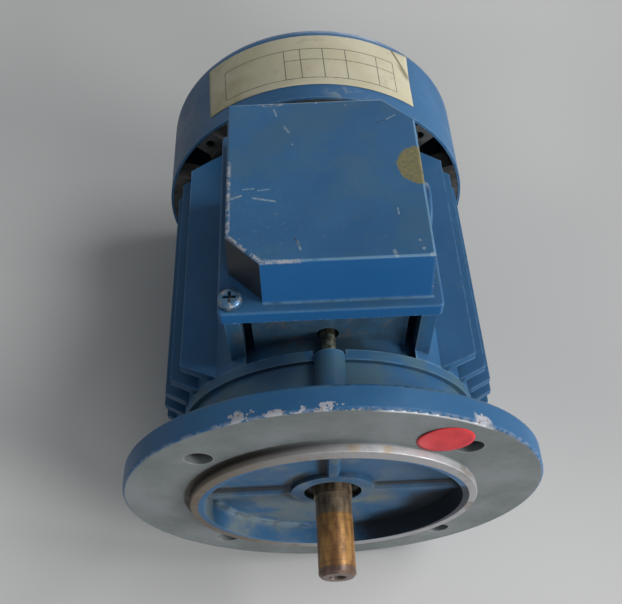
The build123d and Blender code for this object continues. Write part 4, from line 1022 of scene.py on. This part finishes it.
def label_sheet(material):
    """Label on the cowl: a curved sheet with its right rear corner lifted."""
    bm = bmesh.new()
    uv_layer = bm.loops.layers.uv.new("UVMap")
    steps_u, steps_v = LABEL_STEPS_ROUND, LABEL_STEPS_ALONG
    top, under = [
        [
            [bm.verts.new(label_point(thick, i / steps_u, j / steps_v)) for i in range(steps_u + 1)]
            for j in range(steps_v + 1)
        ]
        for thick in (LABEL_THICK, 0.0)
    ]

    def face(corners, places=((0, 0),) * 4):
        made = bm.faces.new(corners)
        for loop, place in zip(made.loops, places):
            loop[uv_layer].uv = place

    for j in range(steps_v):
        for i in range(steps_u):
            u0, u1 = i / steps_u, (i + 1) / steps_u
            v0, v1 = j / steps_v, (j + 1) / steps_v
            places = ((u0, v0), (u1, v0), (u1, v1), (u0, v1))
            face((top[j][i], top[j][i + 1], top[j + 1][i + 1], top[j + 1][i]), places)
            face((under[j][i], under[j + 1][i], under[j + 1][i + 1], under[j][i + 1]))
    border = [(0, i) for i in range(steps_u)]
    border += [(j, steps_u) for j in range(steps_v)]
    border += [(steps_v, i) for i in range(steps_u, 0, -1)]
    border += [(j, 0) for j in range(steps_v, 0, -1)]
    for (j0, i0), (j1, i1) in zip(border, border[1:] + border[:1]):
        face((top[j0][i0], under[j0][i0], under[j1][i1], top[j1][i1]))
    bmesh.ops.recalc_face_normals(bm, faces=bm.faces)
    mesh = mesh_from(bm, "label_sheet")
    return link_object("label_sheet", mesh, material, "housing")


def dot_sticker(material):
    """Round sticker on the flange face, with its upper left edge a little lifted."""
    bm = bmesh.new()
    cx, cz = STICKER_CENTRE
    layers = []
    for thick in (STICKER_THICK, 0.0):
        depth = -thick - STICKER_GAP
        centre = bm.verts.new((cx, depth, cz))
        rings = []
        for k in range(1, STICKER_RINGS + 1):
            share = k / STICKER_RINGS
            ring = []
            for i in range(STICKER_SIDES):
                a = 2 * math.pi * i / STICKER_SIDES
                near = max(0.0, math.cos(a - STICKER_LIFT_ANGLE)) ** STICKER_LIFT_POWER
                lift = STICKER_LIFT * near * share**STICKER_LIFT_POWER
                x = cx + STICKER_R * share * math.cos(a)
                z = cz + STICKER_R * share * math.sin(a)
                ring.append(bm.verts.new((x, depth - lift, z)))
            rings.append(ring)
        layers.append((centre, rings))
    for centre, rings in layers:
        for i in range(STICKER_SIDES):
            n = (i + 1) % STICKER_SIDES
            bm.faces.new((centre, rings[0][i], rings[0][n]))
            for inner, outer in zip(rings, rings[1:]):
                bm.faces.new((inner[i], outer[i], outer[n], inner[n]))
    top, under = layers[0][1][-1], layers[1][1][-1]
    for i in range(STICKER_SIDES):
        n = (i + 1) % STICKER_SIDES
        bm.faces.new((top[i], under[i], under[n], top[n]))
    bmesh.ops.recalc_face_normals(bm, faces=bm.faces)
    return link_object("dot_sticker", mesh_from(bm, "dot_sticker"), material, "housing")


def soften(node, width):
    """Small round on the sharp edges of a node."""
    solid = frame["nodes"][node]
    weld = solid.modifiers.new("weld", "WELD")
    weld.merge_threshold = WELD_GAP
    bevel = solid.modifiers.new("bevel", "BEVEL")
    bevel.width = width * MM
    bevel.segments = ROUND_SEGMENTS
    bevel.limit_method = "ANGLE"
    bevel.angle_limit = math.radians(ROUND_FROM_DEG.get(node, USUAL_ROUND_FROM_DEG))
    bevel.harden_normals = False
    bevel.use_clamp_overlap = True
    for polygon in solid.data.polygons:
        polygon.use_smooth = True
    smooth = solid.modifiers.new("normals", "WEIGHTED_NORMAL")
    smooth.keep_sharp = True


def dress(node, material):
    """Gives a node of the frame its material."""
    data = frame["nodes"][node].data
    data.materials.clear()
    data.materials.append(material)


def dress_frame():
    """Every node of the frame gets the material of its slot or its own."""
    by_slot = {
        "bare_casting": bare_casting(),
        "core_steel": sheet_steel(),
        "shaft_steel": shaft_metal(),
        "label_film": label_print(),
    }
    by_slot |= {slot: plated(*numbers) for slot, numbers in PLATED.items()}
    by_slot |= {slot: moulded(slot, *shades) for slot, shades in MOULDED.items()}
    own = {
        "flange_end_shield": shield_paint(),
        "stator_frame": frame_paint(),
        "terminal_cover": cover_paint(),
        "fan_cowl": cowl_paint(),
        "cover_screws": screw_paint(),
        "entry_plug": plug_paint(),
        "tie_bolts": plated(*TIE_BOLT),
    }
    for part in frame["record"]["subparts"]:
        node = part["node"]
        dress(node, own.get(node) or by_slot[part["material_slot"]])
    return by_slot


def make_floor():
    """Plain floor that touches the flange's rim and the cowl's, so it slopes in this frame."""
    look = Look("floor_plain", roughness=0.90, specular=0.05)
    look.color(look.mix(look.patches(0.002, 0.4, 0.6, detail=2), FLOOR, FLOOR_LIGHT))
    (front_y, front_z), (rear_y, rear_z) = FLOOR_FRONT, FLOOR_REAR
    slope = (rear_z - front_z) / (rear_y - front_y)
    half = FLOOR_SIZE / 2
    bm = bmesh.new()
    corners = []
    for x, y in ((-half, -half), (half, -half), (half, half), (-half, half)):
        corners.append(bm.verts.new((x, y, front_z + slope * (y - front_y))))
    bm.faces.new(corners)
    floor = bpy.data.objects.new("floor", mesh_from(bm, "floor"))
    bpy.context.scene.collection.objects.link(floor)
    floor.data.materials.append(look.material)


def area_light(name, place, size, power, color):
    """Round lamp that shines at the motor."""
    data = bpy.data.lights.new(name, "AREA")
    data.shape = "DISK"
    data.size = size
    data.energy = power
    data.color = color
    lamp = bpy.data.objects.new(name, data)
    bpy.context.scene.collection.objects.link(lamp)
    lamp.location = place
    aim = Vector(LIT_POINT) - Vector(place)
    lamp.rotation_euler = aim.to_track_quat("-Z", "Y").to_euler()


def make_light():
    """Soft light from the right, and a pale surround that mirrors show too."""
    world = bpy.data.worlds.new("studio")
    bpy.context.scene.world = world
    world.use_nodes = True
    tree = world.node_tree
    tree.nodes.clear()
    ambient = tree.nodes.new("ShaderNodeBackground")
    ambient.inputs["Color"].default_value = WORLD_COLOR
    ambient.inputs["Strength"].default_value = WORLD_LEVEL
    seen = tree.nodes.new("ShaderNodeBackground")
    seen.inputs["Color"].default_value = BACKDROP
    rays = tree.nodes.new("ShaderNodeLightPath")
    shown = rays.outputs["Is Camera Ray"]
    for kind in ("Is Glossy Ray", "Is Transmission Ray"):
        most = tree.nodes.new("ShaderNodeMath")
        most.operation = "MAXIMUM"
        tree.links.new(shown, most.inputs[0])
        tree.links.new(rays.outputs[kind], most.inputs[1])
        shown = most.outputs[0]
    mix = tree.nodes.new("ShaderNodeMixShader")
    out = tree.nodes.new("ShaderNodeOutputWorld")
    tree.links.new(shown, mix.inputs["Fac"])
    tree.links.new(ambient.outputs[0], mix.inputs[1])
    tree.links.new(seen.outputs[0], mix.inputs[2])
    tree.links.new(mix.outputs[0], out.inputs["Surface"])
    for name, numbers in LAMPS.items():
        area_light(name, *numbers)


def make_camera():
    """Camera at the photograph's place."""
    azimuth, elevation, roll = map(math.radians, (CAMERA_AZIMUTH, CAMERA_ELEVATION, CAMERA_ROLL))
    level = Vector((math.sin(azimuth), -math.cos(azimuth), 0)) * math.cos(elevation)
    back = level + Vector((0, 0, math.sin(elevation)))
    right = Vector(UP).cross(back).normalized()
    up = back.cross(right)
    turned_right = right * math.cos(roll) + up * math.sin(roll)
    turned_up = up * math.cos(roll) - right * math.sin(roll)
    data = bpy.data.cameras.new("camera")
    data.lens = FOCAL_PX / PHOTO_WIDTH_PX * SENSOR_WIDTH
    data.sensor_width = SENSOR_WIDTH
    data.clip_start = CLIP_START
    camera = bpy.data.objects.new("camera", data)
    bpy.context.scene.collection.objects.link(camera)
    turn = Matrix((turned_right, turned_up, back)).transposed()
    place = Vector(CAMERA_TARGET) + back * CAMERA_DISTANCE
    camera.matrix_world = Matrix.Translation(place) @ turn.to_4x4()
    bpy.context.scene.camera = camera


looks = dress_frame()
for name, width in EDGE_ROUNDS.items():
    soften(name, width)
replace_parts(label_sheet(looks["label_film"]), "rating_label")
dot_sticker(sticker_print())
make_floor()
make_light()
make_camera()
bpy.context.scene.view_settings.view_transform = "Standard"
